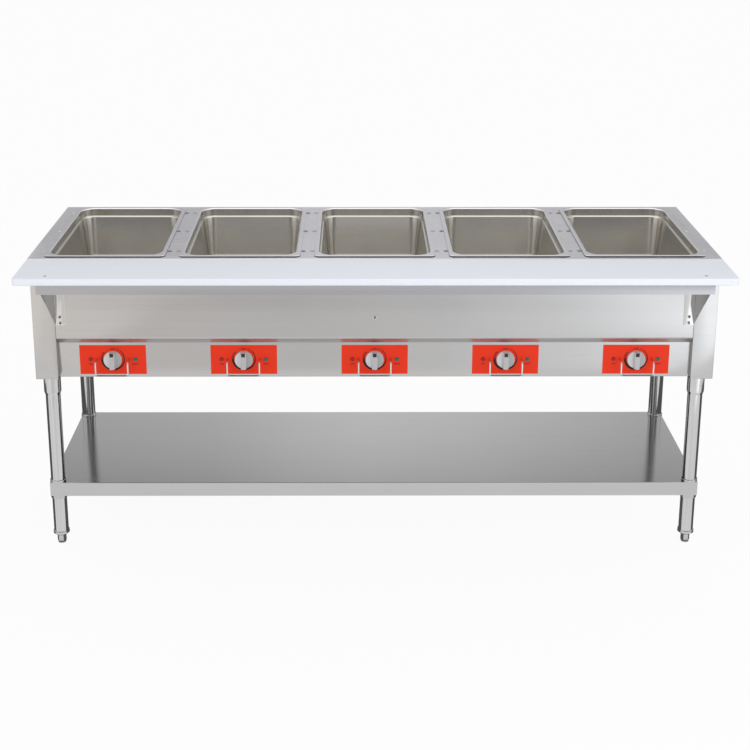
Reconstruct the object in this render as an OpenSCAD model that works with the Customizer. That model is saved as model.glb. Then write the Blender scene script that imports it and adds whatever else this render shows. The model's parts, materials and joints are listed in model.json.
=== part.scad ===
// Five-well hot food table: a steel counter with five lift-out pans, a cutting board on brackets
// along the front, a recessed control band, tube legs, levelling feet and a solid undershelf.
// Millimetres, +Z up. The front faces -Y. The origin is on the floor under the middle of the table.

/* [Pans] */
// Width of a pan across its rim
pan_w = 325; // [300:1:340]
// Length of a pan across its rim, front to back
pan_l = 530; // [480:1:560]
// Depth of a pan from the top of its rim to its underside
pan_depth = 150; // [100:1:180]
// Width of the flat rim of a pan
pan_rim_w = 12.5; // [10:0.5:16]
// Height of the turned-down edge of the rim
pan_rim_h = 3.2; // [2.5:0.1:5]
// Corner radius of the rim
pan_rim_r = 14; // [8:1:20]
// Radius of the upright corners of a pan, inside
pan_corner_r = 42; // [38:1:55]
// Depth of the stacking ledge below the rim
pan_ledge_z = 22; // [16:1:32]
// How far the pan's wall leans inwards, in degrees
pan_lean = 6; // [2:0.5:7]
// Sheet thickness of a pan
pan_t = 1; // [0.7:0.1:1.2]

/* [Counter] */
// Width of the counter's strip between neighbouring pans
strip_w = 37; // [34:0.5:60]
// Counter left outside the last pan at each end
end_margin = 38.5; // [37:0.5:90]
// Counter left in front of the pans
pan_front_gap = 18.5; // [16:0.5:40]
// Counter left behind the pans
pan_rear_gap = 17.5; // [17:0.5:60]
// Height of the counter's top face above the floor
counter_h = 845; // [780:1:950]
// Height of the turned-down edge at the ends and the rear of the counter
counter_skirt = 30; // [20:1:45]
// Play between a pan and the edge of its opening
opening_gap = 5; // [3:0.5:6]
// Corner radius of a well opening
opening_r = 28; // [20:1:36]

/* [Wells] */
// Sheet thickness of the well liners
well_t = 1.2; // [0.8:0.1:1.5]
// Room under a pan for the heating element
under_pan_room = 48; // [40:1:60]
// Inside radius of the well's upright corners: its bottom edge has half of it
well_r = 24; // [18:1:30]
// Diameter of the heating element's tube
element_d = 8; // [6:0.5:10]
// Distance between the runs of the heating element
element_pitch = 70; // [50:1:76]
// Height of the element above the bottom of the well
element_lift = 16; // [12:0.5:20]

/* [Body] */
// Thickness of the body's sheet
sheet_t = 1.5; // [1:0.1:2]
// Height of the body, from its bottom edge to the counter's top face
body_h = 336; // [325:1:400]
// How far the counter overhangs the body at each end
end_overhang = 7; // [4:0.5:12]
// How far the front panel stands ahead of the counter's front edge
front_lead = 12; // [8:0.5:20]
// How far the back of the body stands in from the counter's rear edge
rear_inset = 10; // [7:0.5:12]
// Width of the corner columns, seen from the front
column_w = 61; // [59:1:80]
// Height of the control band below the upper front panel
control_h = 117.5; // [112:0.5:135]
// How far the control panel stands back behind the front panel
control_recess = 18; // [12:0.5:24]
// Gap between sheets that meet edge to edge
seam_gap = 0.3; // [0.2:0.1:0.6]

/* [Controls] */
// How much closer together the controls stand than the wells
control_inset = 7; // [0:0.5:20]
// Height of the knobs' axis above the bottom edge of the body
control_rise = 52; // [50:0.5:56]
// Width of a control's label plate
label_w = 180; // [150:1:200]
// Height of a control's label plate
label_h = 83; // [76:1:86]
// Thickness of a label plate
label_t = 0.8; // [0.5:0.1:1.2]
// Distance of each lamp from the knob's axis
lamp_offset = 60.5; // [54:0.5:72]
// Diameter of a lamp's lens
lamp_d = 10.8; // [9:0.2:13]
// Diameter of a knob's skirt
knob_d = 49; // [42:1:56]
// Thickness of a knob's skirt
knob_skirt = 9; // [7:0.5:11]
// Height of the grip bar on a knob
grip_h = 13.5; // [8:0.5:14]
// Width of the grip bar
grip_w = 16.5; // [12:0.5:20]
// Diameter of the control's spindle
spindle_d = 6; // [5:0.5:7]
// Distance between the two legs of a knob guard
guard_w = 87; // [78:1:92]
// How far a knob guard stands out from the control panel
guard_reach = 29; // [28:0.5:36]
// How far a knob guard hangs down from the knob's axis
guard_drop = 38; // [34:0.5:40]
// Wire diameter of a knob guard
guard_d = 4.5; // [3.5:0.1:5]

/* [Cutting board] */
// Depth of the cutting board
board_d = 180; // [140:1:260]
// Thickness of the cutting board
board_t = 18; // [12:0.5:22]
// Radius of the board's front corners
board_r = 10; // [6:1:20]
// Diameter of the pins that hold the board
pin_d = 9; // [7:0.5:11]
// Distance of the pins from the board's front edge
pin_back = 27; // [26:1:60]
// Distance of the pins from the board's ends
pin_in = 80; // [72:1:110]
// How far the board's support stands back behind the front edge of the board
support_back = 20; // [12:1:24]
// How far the support ends short of the board's ends
support_in = 56; // [40:1:60]
// Height of the support's front edge
support_h = 30; // [24:1:50]
// Height of a bracket where it meets the front panel
gusset_h = 161; // [120:1:190]
// Width of a bracket's screwed flange
gusset_flange = 29; // [24:1:40]

/* [Legs and shelf] */
// Diameter of the leg tubes
leg_d = 40.5; // [34:0.5:42]
// Wall of the leg tubes
leg_wall = 1.5; // [1.2:0.1:2]
// Distance of the legs' middles in from the ends of the body
leg_in_side = 33; // [30:0.5:34]
// Distance of the front legs' middles behind the front panel
leg_in_front = 46; // [44:1:80]
// Distance of the rear legs' middles ahead of the back of the body
leg_in_rear = 48; // [40:1:80]
// Outer diameter of the leg sockets
socket_d = 46.8; // [45:0.2:50]
// Height of the leg sockets
socket_h = 58; // [45:1:70]
// Height of the undershelf's top face above the floor
shelf_h = 190; // [130:1:300]
// Height of the undershelf's turned-down edge
shelf_edge = 39.5; // [32:0.5:50]
// Outer diameter of the collars that clamp the undershelf to the legs
collar_d = 45.6; // [44.5:0.1:48]
// Length of the collars
collar_h = 51; // [42:1:56]
// Height of a foot below the plug in its leg
foot_h = 26; // [16:1:32]
// Width of a foot's hexagon across its corners
foot_d = 25.4; // [22:0.2:30]
// Diameter of a foot's threaded stem
stem_d = 10; // [8:0.5:12]

/* [Hidden] */
$fn = 64;

// Clearances
seat_gap = 0.1;
slip_gap = 0.15;
spindle_gap = 0.05;
hole_gap = 0.3;
pin_gap = 0.3;
// How far a cut runs past the faces it goes through
past = 1;

// Counter and body planes
well_count = 5;
middle_well = (well_count + 1) / 2;
well_pitch = pan_w + strip_w;
counter_w = (well_count - 1) * well_pitch + pan_w + 2 * end_margin;
counter_d = pan_front_gap + pan_l + pan_rear_gap;
depth = counter_d + board_d;
front_y = -depth / 2;
seam_y = front_y + board_d;
rear_y = depth / 2;
counter_under = counter_h - sheet_t;
body_z = counter_h - body_h;
body_x = counter_w / 2 - end_overhang;
panel_y = seam_y - front_lead;
back_y = rear_y - rear_inset;
column_x = body_x - column_w;
panel_half = column_x - seam_gap;
control_y = panel_y + control_recess;
panel_z = body_z + control_h;
bevel_z = panel_z - control_recess;
control_tuck = 34;
control_top = bevel_z + control_tuck;
bottom_flange = 37;
rear_lap = 40;

// Board, its support and its brackets
board_z = counter_h - board_t;
tray_top = board_z - seat_gap;
tray_z = tray_top - sheet_t;
tray_y = front_y + support_back;
tray_half = counter_w / 2 - support_in;
board_play = 0.4;
board_edge_r = 2;
gusset_z = tray_z - gusset_h;
gusset_x = column_x;
screw_d = 4;
screw_head_d = 9;
screw_head_h = 2.6;
screw_length = 8;
gusset_screws = [6, 23];
panel_screw_rise = 59;
panel_screw_z = panel_z + panel_screw_rise;

// Wells, pans and elements
well_y = seam_y + pan_front_gap + pan_l / 2;
pan_inside_w = pan_w - 2 * pan_rim_w;
pan_inside_l = pan_l - 2 * pan_rim_w;
pan_top = counter_h + pan_rim_h + seat_gap;
opening_w = pan_inside_w + 2 * pan_t + 2 * opening_gap;
opening_l = pan_inside_l + 2 * pan_t + 2 * opening_gap;
well_setback = 1;
well_in_w = opening_w + 2 * well_setback;
well_in_l = opening_l + 2 * well_setback;
well_depth = pan_depth + under_pan_room;
well_floor = counter_under - well_depth + well_t;
rivet_gap = 6.5;
rivet_edge = 8;
rivet_half = pan_w / 2 + rivet_gap;
rivet_end = 59;
rivet_span = pan_l / 2 - rivet_end;
rivet_d = 4.8;
rivet_head_d = 12;
rivet_head_h = 1.2;
rivet_face_d = 10;
rivet_tail_d = 7;
rivet_tail_h = 2.5;
well_flange_w = 2 * (rivet_half + rivet_edge);
well_flange_lip = 7.5;
well_flange_l = well_in_l + 2 * well_flange_lip;
element_z = well_floor + element_lift;
element_front = well_y - well_in_l / 2;
element_room_front = 83;
element_room_back = 73;
element_run_front = well_y - well_in_l / 2 + element_room_front;
element_run_back = well_y + well_in_l / 2 - element_room_back;
run_count = 4;
element_outer = (run_count - 1) / 2 * element_pitch;
element_runs = [for (k = [0:run_count - 1]) k * element_pitch - element_outer];
element_pin = 20;
bush_d = 12;
bush_flange_d = 18;
bush_flange_t = 3;
saddle_t = 5;
slab_top_gap = 7;
slab_end_gap = 50;

// Controls
control_z = body_z + control_rise;
control_pitch = well_pitch - control_inset;
label_shift = -1.7;
neck_d = 8;
lamp_nut_d = 12;
lamp_nut_h = 3;
lamp_neck = 12;
lens_h = 2;
dome_h = 3;
lens_rim = 0.6;
bush_neck_d = 9.5;
bush_neck_out = 4.5;
switch_nut_d = 16.5;
switch_nut_h = 2.6;
switch_w = 40;
switch_h = 46;
switch_l = 36;
blade_w = 6.3;
blade_t = 0.8;
blade_l = 8;
knob_gap = 1;
knob_recess_d = 22;
knob_recess = 5;
knob_edge = 1.5;
grip_lean = 1.4;
grip_end_r = 3;
mark_w = 9;
mark_h = 8;
mark_depth = 0.6;
mark_rise = 16;
spindle_l = 20;
guard_bend = 7;
guard_tail = 6;
guard_lug_d = 7;
guard_lug_h = 1;

// Legs, feet and shelf
leg_x = body_x - leg_in_side;
leg_front_y = panel_y + leg_in_front;
leg_rear_y = back_y - leg_in_rear;
leg_spots = [[-1, 0], [1, 0], [-1, 1], [1, 1]];
socket_taper = 8;
socket_roof = 3;
socket_lip = 0.8;
leg_top_gap = 1;
plug_ring_d = 45;
plug_ring_h = 7;
plug_cone_h = 5.5;
plug_cone_d = 30;
plug_h = 30;
plug_top = foot_h + plug_cone_h + plug_ring_h;
foot_pad_h = 6;
foot_pad_d = 22;
stem_l = 40;
stem_room = 2;
shelf_lip = 10;
collar_rise = 2;
shelf_x = leg_x + leg_d / 2;
shelf_front = leg_front_y - leg_d / 2;
shelf_back = leg_rear_y + leg_d / 2;
stiffener_w = 60;
stiffener_h = 24;
stiffener_foot = 14;
stiffener_spread = 130;
stiffener_in = 110;

// Power entry
gland_in = 160;
gland_rise = 60;
gland_x = body_x - gland_in;
gland_z = body_z + gland_rise;
gland_bore = 10;
gland_thread_d = 20;
gland_nut_d = 28;
gland_nut_h = 5;
gland_dome_h = rear_inset;
gland_dome_step = 2;
gland_thread_tail = 2;
block_w = 96;
block_d = 42;
block_h = 30;
block_poles = 6;
block_wall = 2;
block_pocket = 14;

// Colours
steel = [0.74, 0.74, 0.76];
satin = [0.66, 0.65, 0.62];
bright = [0.82, 0.82, 0.84];
plate_red = [0.88, 0.22, 0.14];
board_white = [0.90, 0.91, 0.95];
dark = [0.16, 0.16, 0.17];
wool = [0.85, 0.80, 0.55];
lens_red = [0.62, 0.10, 0.08];
lens_green = [0.05, 0.45, 0.38];
silver = [0.80, 0.80, 0.80];
cream = [0.85, 0.85, 0.82];

function well_x(i) = (i - middle_well) * well_pitch;
function control_x(i) = (i - middle_well) * control_pitch;
function leg_y(rear) = rear == 0 ? leg_front_y : leg_rear_y;

// Points of an arc about a centre, from one angle to another
arc_steps = 6;
function arc(c, r, a, b) = [for (k = [0:arc_steps])
    let (t = a + (b - a) * k / arc_steps) c + r * [cos(t), sin(t)]];
function back_to_front(list) = [for (k = [len(list) - 1:-1:0]) list[k]];

// Block given by its low and high corners
module block(low, high) {
    translate(low)
        cube(high - low);
}

// Rectangle with round corners, centred
module round_rect(w, l, r) {
    square([w - 2 * r, l], center = true);
    square([w, l - 2 * r], center = true);
    for (x = [-1, 1], y = [-1, 1])
        translate([x * (w / 2 - r), y * (l / 2 - r)])
            circle(r);
}

// Sweeps a profile round a rectangle with round corners. The profile's x is the distance outwards
// from the corner's middle, so x = r lies on the rectangle, and its y is the height.
module round_sweep(w, l, r) {
    cx = w / 2 - r;
    cy = l / 2 - r;
    for (k = [0:3]) {
        half = k % 2 == 0 ? [cx, cy] : [cy, cx];
        rotate(90 * k) {
            translate([half[0], half[1], 0])
                rotate_extrude(angle = 90)
                    children();
            translate([half[0], half[1], 0])
                rotate([90, 0, 0])
                    linear_extrude(2 * half[1])
                        children();
        }
    }
}

// Extrudes a profile, drawn in Y and Z, along X between two places
module along_x(x0, x1) {
    translate([x0, 0, 0])
        rotate([90, 0, 90])
            linear_extrude(x1 - x0)
                children();
}

// Turns a piece drawn with +Z towards the viewer, so that it stands on the control panel's face
module on_control(x) {
    translate([x, control_y, control_z])
        rotate([90, 0, 0])
            children();
}

// Low domed head on the plane z = 0
module domed_head(d, h) {
    ball = (d * d / 4 + h * h) / (2 * h);
    intersection() {
        translate([0, 0, h - ball])
            sphere(ball);
        cylinder(d = d, h = h);
    }
}

// Upper edge of a well opening, as a cut through the counter
module opening_cut() {
    translate([0, 0, counter_under - past])
        linear_extrude(sheet_t + 2 * past)
            round_rect(opening_w, opening_l, opening_r);
}

module rivet_spots() {
    for (x = [-1, 1], y = [-1, 0, 1])
        translate([x * rivet_half, y * rivet_span, 0])
            children();
}

module countertop() {
    edge = counter_w / 2;
    color(steel)
        difference() {
            union() {
                block([-edge, seam_y, counter_under], [edge, rear_y, counter_h]);
                block([-edge, seam_y, tray_z], [edge, seam_y + sheet_t, counter_h]);
                block([-edge, rear_y - sheet_t, counter_h - counter_skirt], [edge, rear_y, counter_h]);
                for (s = [-1, 1])
                    translate([s * (edge - sheet_t / 2), 0, 0])
                        block([-sheet_t / 2, seam_y, counter_h - counter_skirt],
                            [sheet_t / 2, rear_y, counter_h]);
            }
            for (i = [1:well_count])
                translate([well_x(i), well_y, 0]) {
                    opening_cut();
                    rivet_spots()
                        translate([0, 0, counter_under - past])
                            cylinder(d = rivet_d + 2 * slip_gap, h = sheet_t + 2 * past);
                }
        }
}

// One end of the body: side sheet, column face with its return, rear lap and bottom and top flanges
module end_panel(s) {
    top_flange = 11;
    step_y = seam_y + 2 * sheet_t;
    color(steel)
        mirror([s < 0 ? 1 : 0, 0, 0]) {
            block([body_x - sheet_t, panel_y, body_z], [body_x, step_y, tray_z]);
            block([body_x - sheet_t, step_y, body_z], [body_x, back_y, counter_under]);
            block([column_x, panel_y, body_z], [body_x, panel_y + sheet_t, tray_z]);
            block([column_x, panel_y, body_z], [column_x + sheet_t, control_y + sheet_t, panel_z]);
            block([body_x - rear_lap, back_y - sheet_t, body_z], [body_x, back_y, counter_under]);
            block([column_x, panel_y, body_z], [body_x, back_y, body_z + sheet_t]);
            block([body_x - top_flange, step_y, counter_under - sheet_t], [body_x, back_y, counter_under]);
        }
}

module front_panel() {
    bevel = 45;
    slant = sheet_t * tan(bevel / 2);
    end = sheet_t / cos(bevel);
    top_flange = 25;
    color(steel)
        difference() {
            along_x(-panel_half, panel_half)
                polygon([[panel_y, tray_z], [panel_y, panel_z], [control_y, bevel_z],
                    [control_y, bevel_z + end], [panel_y + sheet_t, panel_z + slant],
                    [panel_y + sheet_t, tray_z - sheet_t], [panel_y + top_flange, tray_z - sheet_t],
                    [panel_y + top_flange, tray_z]]);
            panel_screw_spot()
                screw_hole();
            gusset_screw_spots()
                screw_hole();
        }
}

// Place of the screw in the middle of the front panel, with +Z towards the viewer
module panel_screw_spot() {
    translate([0, panel_y, panel_screw_z])
        rotate([90, 0, 0])
            children();
}

// Places of the screws on the brackets' flanges, with +Z towards the viewer
module gusset_screw_spots() {
    for (s = [-1, 1], z = gusset_screws)
        translate([s * (gusset_x - gusset_flange / 2), panel_y - sheet_t, gusset_z + z])
            rotate([90, 0, 0])
                children();
}

module screw_hole() {
    translate([0, 0, -screw_length])
        cylinder(d = screw_d + 2 * slip_gap, h = 2 * screw_length);
}

module control_panel() {
    color(steel)
        difference() {
            along_x(-panel_half, panel_half)
                polygon([[control_y, body_z], [control_y, control_top],
                    [control_y + sheet_t, control_top], [control_y + sheet_t, body_z + sheet_t],
                    [control_y + bottom_flange, body_z + sheet_t], [control_y + bottom_flange, body_z]]);
            for (i = [1:well_count])
                on_control(control_x(i))
                    control_holes(sheet_t);
        }
}

// Holes for a control's bush, lamps and guard through a sheet behind the plane z = 0
module control_holes(t) {
    deep = t + 2 * past;
    translate([0, 0, -t - past]) {
        cylinder(d = bush_neck_d + 2 * hole_gap, h = deep);
        for (s = [-1, 1]) {
            translate([s * lamp_offset, 0, 0])
                cylinder(d = neck_d + 2 * hole_gap, h = deep);
            translate([s * guard_w / 2, 0, 0])
                cylinder(d = guard_d + 2 * slip_gap, h = deep);
        }
    }
}

module rear_panel() {
    y = back_y - sheet_t;
    color(steel)
        difference() {
            union() {
                block([-(body_x - sheet_t), y - sheet_t, body_z + sheet_t],
                    [body_x - sheet_t, y, counter_under - sheet_t]);
                block([-panel_half, y - bottom_flange, body_z], [panel_half, y, body_z + sheet_t]);
            }
            translate([gland_x, y - sheet_t - past, gland_z])
                rotate([-90, 0, 0])
                    cylinder(d = gland_thread_d + 2 * slip_gap, h = sheet_t + 2 * past);
        }
}

module bottom_panel() {
    color(steel)
        block([-(body_x - sheet_t), control_y + sheet_t, body_z + sheet_t],
            [body_x - sheet_t, back_y - 2 * sheet_t, body_z + 2 * sheet_t]);
}

// Folded support under the board, resting on the front panel
module board_support() {
    color(steel)
        along_x(-tray_half, tray_half)
            polygon([[tray_y, tray_top - support_h], [tray_y, tray_top], [seam_y - board_play, tray_top],
                [seam_y - board_play, tray_z], [tray_y + sheet_t, tray_z],
                [tray_y + sheet_t, tray_top - support_h]]);
}

// Triangular bracket with a flange on the front panel and one under the support
module board_gusset(s) {
    front = tray_y + sheet_t;
    web_z = tray_top - support_h;
    inner_x = gusset_x - gusset_flange;
    color(steel)
        mirror([s < 0 ? 1 : 0, 0, 0])
            difference() {
                union() {
                    along_x(gusset_x - sheet_t, gusset_x)
                        polygon([[front, tray_z], [front, web_z], [panel_y, gusset_z], [panel_y, tray_z]]);
                    block([inner_x, panel_y - sheet_t, gusset_z], [gusset_x, panel_y, tray_z]);
                    block([inner_x, front, tray_z - sheet_t], [gusset_x, panel_y, tray_z]);
                }
                gusset_screw_spots()
                    screw_hole();
            }
}

module board_pin_spots() {
    for (s = [-1, 1])
        translate([s * (counter_w / 2 - pin_in), front_y + pin_back, 0])
            children();
}

module board_pins() {
    below_top = 1.5;
    color(bright)
        board_pin_spots()
            translate([0, 0, tray_top])
                cylinder(d = pin_d, h = counter_h - below_top - tray_top);
}

// Open well liner, hung by its flange under the counter
module well(i) {
    r = well_r;
    low_r = well_r / 2;
    bend = [r - low_r, well_floor + low_r];
    edge = concat([[r, counter_under]], arc(bend, low_r, 0, -90),
        back_to_front(arc(bend, low_r + well_t, 0, -90)), [[r + well_t, counter_under - well_t]]);
    color(satin)
        translate([well_x(i), well_y, 0])
            difference() {
                union() {
                    round_sweep(well_in_w, well_in_l, r)
                        polygon(concat(edge, [[r + 2 * well_t, counter_under - well_t],
                            [r + 2 * well_t, counter_under]]));
                    translate([0, 0, well_floor - well_t])
                        linear_extrude(well_t)
                            round_rect(well_in_w - 2 * low_r, well_in_l - 2 * low_r, r - low_r);
                    translate([0, 0, counter_under - well_t])
                        linear_extrude(well_t)
                            difference() {
                                square([well_flange_w, well_flange_l], center = true);
                                round_rect(well_in_w + 2 * well_t, well_in_l + 2 * well_t, r + well_t);
                            }
                }
                rivet_spots()
                    translate([0, 0, counter_under - well_t - past])
                        cylinder(d = rivet_d + 2 * slip_gap, h = well_t + 2 * past);
                for (s = [-1, 1])
                    translate([s * element_outer, -well_in_l / 2 + past, element_z])
                        rotate([90, 0, 0])
                            cylinder(d = bush_d + 2 * slip_gap, h = well_t + 2 * past);
            }
}

// Tubular element: four runs joined by three bends, on two saddles, with bushes in the front wall
module heating_element(i) {
    p = element_pitch;
    pin_y = element_front - well_t - element_pin;
    color(dark)
        translate([well_x(i), 0, 0]) {
            for (x = element_runs) {
                low = abs(x) < element_outer - element_d ? element_run_front : pin_y;
                translate([x, low, element_z])
                    rotate([-90, 0, 0])
                        cylinder(d = element_d, h = element_run_back - low);
            }
            for (k = [-1, 0, 1])
                translate([k * p, k == 0 ? element_run_front : element_run_back, element_z])
                    rotate(k == 0 ? 180 : 0)
                        rotate_extrude(angle = 180)
                            translate([p / 2, 0])
                                circle(d = element_d);
            for (s = [-1, 1])
                translate([s * element_outer, element_front, element_z])
                    rotate([90, 0, 0])
                        element_bush();
            for (y = [element_run_front + p, element_run_back - p])
                element_saddle(y);
        }
}

// Bush round an element's end, in the front wall of the well, with its flange outside
module element_bush() {
    difference() {
        union() {
            translate([0, 0, -bush_flange_t])
                cylinder(d = bush_d, h = well_t + 2 * bush_flange_t);
            translate([0, 0, well_t])
                cylinder(d = bush_flange_d, h = bush_flange_t);
        }
        translate([0, 0, -bush_flange_t - past])
            cylinder(d = element_d + 2 * slip_gap, h = well_t + 2 * bush_flange_t + 2 * past);
    }
}

// Strip that carries the runs of an element in notches
module element_saddle(y) {
    reach = element_outer + element_d;
    difference() {
        block([-reach, y - saddle_t / 2, well_floor], [reach, y + saddle_t / 2, element_z]);
        for (x = element_runs)
            translate([x, y - saddle_t, element_z])
                rotate([-90, 0, 0])
                    cylinder(d = element_d + 2 * slip_gap, h = 2 * saddle_t);
    }
}

// Slabs that fill the spaces beside the wells
module insulation() {
    half = well_in_w / 2 + well_t;
    low = [for (i = [0:well_count]) i == 0 ? -(body_x - sheet_t) : well_x(i) + half];
    high = [for (i = [0:well_count]) i == well_count ? body_x - sheet_t : well_x(i + 1) - half];
    color(wool)
        for (i = [0:well_count])
            block([low[i], well_y - well_in_l / 2 + slab_end_gap, well_floor + well_r / 2],
                [high[i], well_y + well_in_l / 2 - slab_end_gap, counter_under - slab_top_gap]);
}

// Heat control behind the panel, with its bush through the panel and a nut on the label
module control_switch(i) {
    color(dark)
        on_control(control_x(i))
            difference() {
                union() {
                    translate([-switch_w / 2, -switch_h / 2, -sheet_t - switch_l])
                        cube([switch_w, switch_h, switch_l]);
                    translate([0, 0, -sheet_t - past])
                        cylinder(d = bush_neck_d, h = sheet_t + past + bush_neck_out);
                    translate([0, 0, label_t])
                        cylinder(d = switch_nut_d, h = switch_nut_h, $fn = 6);
                    for (x = [-1, 1], y = [-1, 1])
                        translate([x * switch_w / 4 - blade_w / 2, y * switch_h / 4 - blade_t / 2,
                            -sheet_t - switch_l - blade_l])
                            cube([blade_w, blade_t, blade_l + past]);
                }
                translate([0, 0, -spindle_l - past])
                    cylinder(d = spindle_d + 2 * spindle_gap, h = spindle_l + bush_neck_out + 2 * past);
            }
}

module label_plates() {
    color(plate_red)
        for (i = [1:well_count])
            on_control(control_x(i))
                difference() {
                    translate([-label_w / 2, label_shift - label_h / 2, 0])
                        cube([label_w, label_h, label_t]);
                    translate([0, 0, label_t])
                        control_holes(label_t);
                }
}

// Lamp with its lens on the label, its neck through the panel and its nut behind
module lamp() {
    translate([0, 0, label_t]) {
        cylinder(d = lamp_d, h = lens_h);
        translate([0, 0, lens_h])
            domed_head(lamp_d - 2 * lens_rim, dome_h);
    }
    translate([0, 0, -sheet_t - lamp_neck])
        cylinder(d = neck_d, h = sheet_t + lamp_neck + label_t);
    translate([0, 0, -sheet_t - lamp_nut_h])
        cylinder(d = lamp_nut_d, h = lamp_nut_h);
}

module red_lamps() {
    color(lens_red)
        for (i = [1:well_count])
            on_control(control_x(i) - lamp_offset)
                lamp();
}

module green_lamps() {
    color(lens_green)
        for (i = [1:well_count])
            on_control(control_x(i) + lamp_offset)
                lamp();
}

// Bent wire in front of a knob: two legs out of the panel, down, and across below the knob
module knob_guard() {
    half = guard_w / 2;
    r = guard_bend;
    for (s = [-1, 1])
        translate([s * half, 0, 0]) {
            translate([0, 0, -sheet_t - guard_tail])
                cylinder(d = guard_d, h = sheet_t + guard_tail + guard_reach - r);
            translate([0, 0, label_t])
                cylinder(d = guard_lug_d, h = guard_lug_h);
            translate([0, -r, guard_reach - r])
                rotate([0, -90, 0])
                    rotate_extrude(angle = 90)
                        translate([r, 0])
                            circle(d = guard_d);
            translate([0, r - guard_drop, guard_reach])
                rotate([-90, 0, 0])
                    cylinder(d = guard_d, h = guard_drop - 2 * r);
            translate([-s * r, r - guard_drop, guard_reach])
                rotate(s > 0 ? -90 : 180)
                    rotate_extrude(angle = 90)
                        translate([r, 0])
                            circle(d = guard_d);
        }
    translate([-(half - r), -guard_drop, guard_reach])
        rotate([0, 90, 0])
            cylinder(d = guard_d, h = 2 * (half - r));
}

module knob_guards() {
    color(bright)
        for (i = [1:well_count])
            on_control(control_x(i))
                knob_guard();
}

// Knob with a chamfered skirt, a grip bar with a pointer pocket, and its spindle
module knob(i) {
    back = label_t + knob_gap;
    face = back + knob_skirt;
    top = face + grip_h;
    color(silver)
        on_control(control_x(i))
            difference() {
                union() {
                    difference() {
                        union() {
                            translate([0, 0, back])
                                cylinder(d = knob_d, h = knob_skirt - knob_edge);
                            translate([0, 0, face - knob_edge])
                                cylinder(d1 = knob_d, d2 = knob_d - 2 * knob_edge, h = knob_edge);
                            grip_bar(face - knob_edge, top);
                        }
                        translate([0, 0, back - past])
                            cylinder(d = knob_recess_d, h = knob_recess + past);
                    }
                    translate([0, 0, -spindle_l])
                        cylinder(d = spindle_d, h = spindle_l + back + knob_recess + past);
                }
                translate([-mark_w / 2, mark_rise - mark_h / 2, top - mark_depth])
                    cube([mark_w, mark_h, mark_depth + past]);
            }
}

// Grip bar across a knob, with leaning sides and round ends
module grip_bar(z0, z1) {
    reach = knob_d / 2 - knob_edge;
    intersection() {
        rotate([90, 0, 0])
            linear_extrude(2 * reach, center = true)
                polygon([[-grip_w / 2, z0], [grip_w / 2, z0],
                    [grip_w / 2 - grip_lean, z1], [-grip_w / 2 + grip_lean, z1]]);
        rotate_extrude()
            polygon(concat([[0, z0], [reach, z0]],
                arc([reach - grip_end_r, z1 - grip_end_r], grip_end_r, 0, 90), [[0, z1]]));
    }
}

// White board that lies on its support, over two pins, with rounded edges at the front and ends
module cutting_board() {
    l = board_d - board_play;
    color(board_white)
        difference() {
            translate([0, front_y + l / 2, board_z + board_t / 2])
                intersection() {
                    linear_extrude(board_t, center = true)
                        board_outline(l);
                    along_x(-counter_w / 2, counter_w / 2)
                        translate([board_t / 2, 0])
                            round_rect(l + board_t, board_t, board_edge_r);
                    rotate([90, 0, 0])
                        linear_extrude(l, center = true)
                            round_rect(counter_w, board_t, board_edge_r);
                }
            board_pin_spots()
                translate([0, 0, board_z - past])
                    cylinder(d = pin_d + 2 * pin_gap, h = board_t + 2 * past);
        }
}

// Board seen from above, with round corners at the front only
module board_outline(l) {
    intersection() {
        translate([0, board_r])
            round_rect(counter_w, l + 2 * board_r, board_r);
        square([counter_w, l], center = true);
    }
}

module leg(s, rear) {
    length = body_z - socket_roof - leg_top_gap - plug_top;
    color(bright)
        translate([s * leg_x, leg_y(rear), plug_top])
            difference() {
                cylinder(d = leg_d, h = length);
                translate([0, 0, -past])
                    cylinder(d = leg_d - 2 * leg_wall, h = length + 2 * past);
            }
}

// Sockets under the body, open below for the legs and drawn in at the lower end
module leg_sockets() {
    bore = leg_d + 2 * slip_gap;
    mouth = bore + 2 * socket_lip;
    color(bright)
        for (spot = leg_spots)
            translate([spot[0] * leg_x, leg_y(spot[1]), body_z - socket_h])
                difference() {
                    union() {
                        cylinder(d1 = mouth, d2 = socket_d, h = socket_taper);
                        translate([0, 0, socket_taper])
                            cylinder(d = socket_d, h = socket_h - socket_taper);
                    }
                    translate([0, 0, -past])
                        cylinder(d = bore, h = socket_h - socket_roof + past);
                }
}

// Plugs in the lower ends of the legs, bored for the feet
module foot_plugs() {
    color(bright)
        for (spot = leg_spots)
            translate([spot[0] * leg_x, leg_y(spot[1]), foot_h])
                difference() {
                    union() {
                        cylinder(d1 = plug_cone_d, d2 = plug_ring_d, h = plug_cone_h);
                        translate([0, 0, plug_cone_h])
                            cylinder(d = plug_ring_d, h = plug_ring_h);
                        translate([0, 0, plug_cone_h + plug_ring_h])
                            cylinder(d = leg_d - 2 * leg_wall - 2 * slip_gap, h = plug_h);
                    }
                    translate([0, 0, -past])
                        cylinder(d = stem_d + 2 * spindle_gap, h = stem_l + stem_room + past);
                }
}

// Levelling foot: pad, hexagon and stem
module foot(s, rear) {
    color(bright)
        translate([s * leg_x, leg_y(rear), 0]) {
            cylinder(d1 = foot_pad_d, d2 = foot_d * cos(30), h = foot_pad_h);
            translate([0, 0, foot_pad_h])
                cylinder(d = foot_d, h = foot_h - seat_gap - foot_pad_h, $fn = 6);
            translate([0, 0, foot_h - seat_gap - past])
                cylinder(d = stem_d, h = stem_l + past);
        }
}

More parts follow.
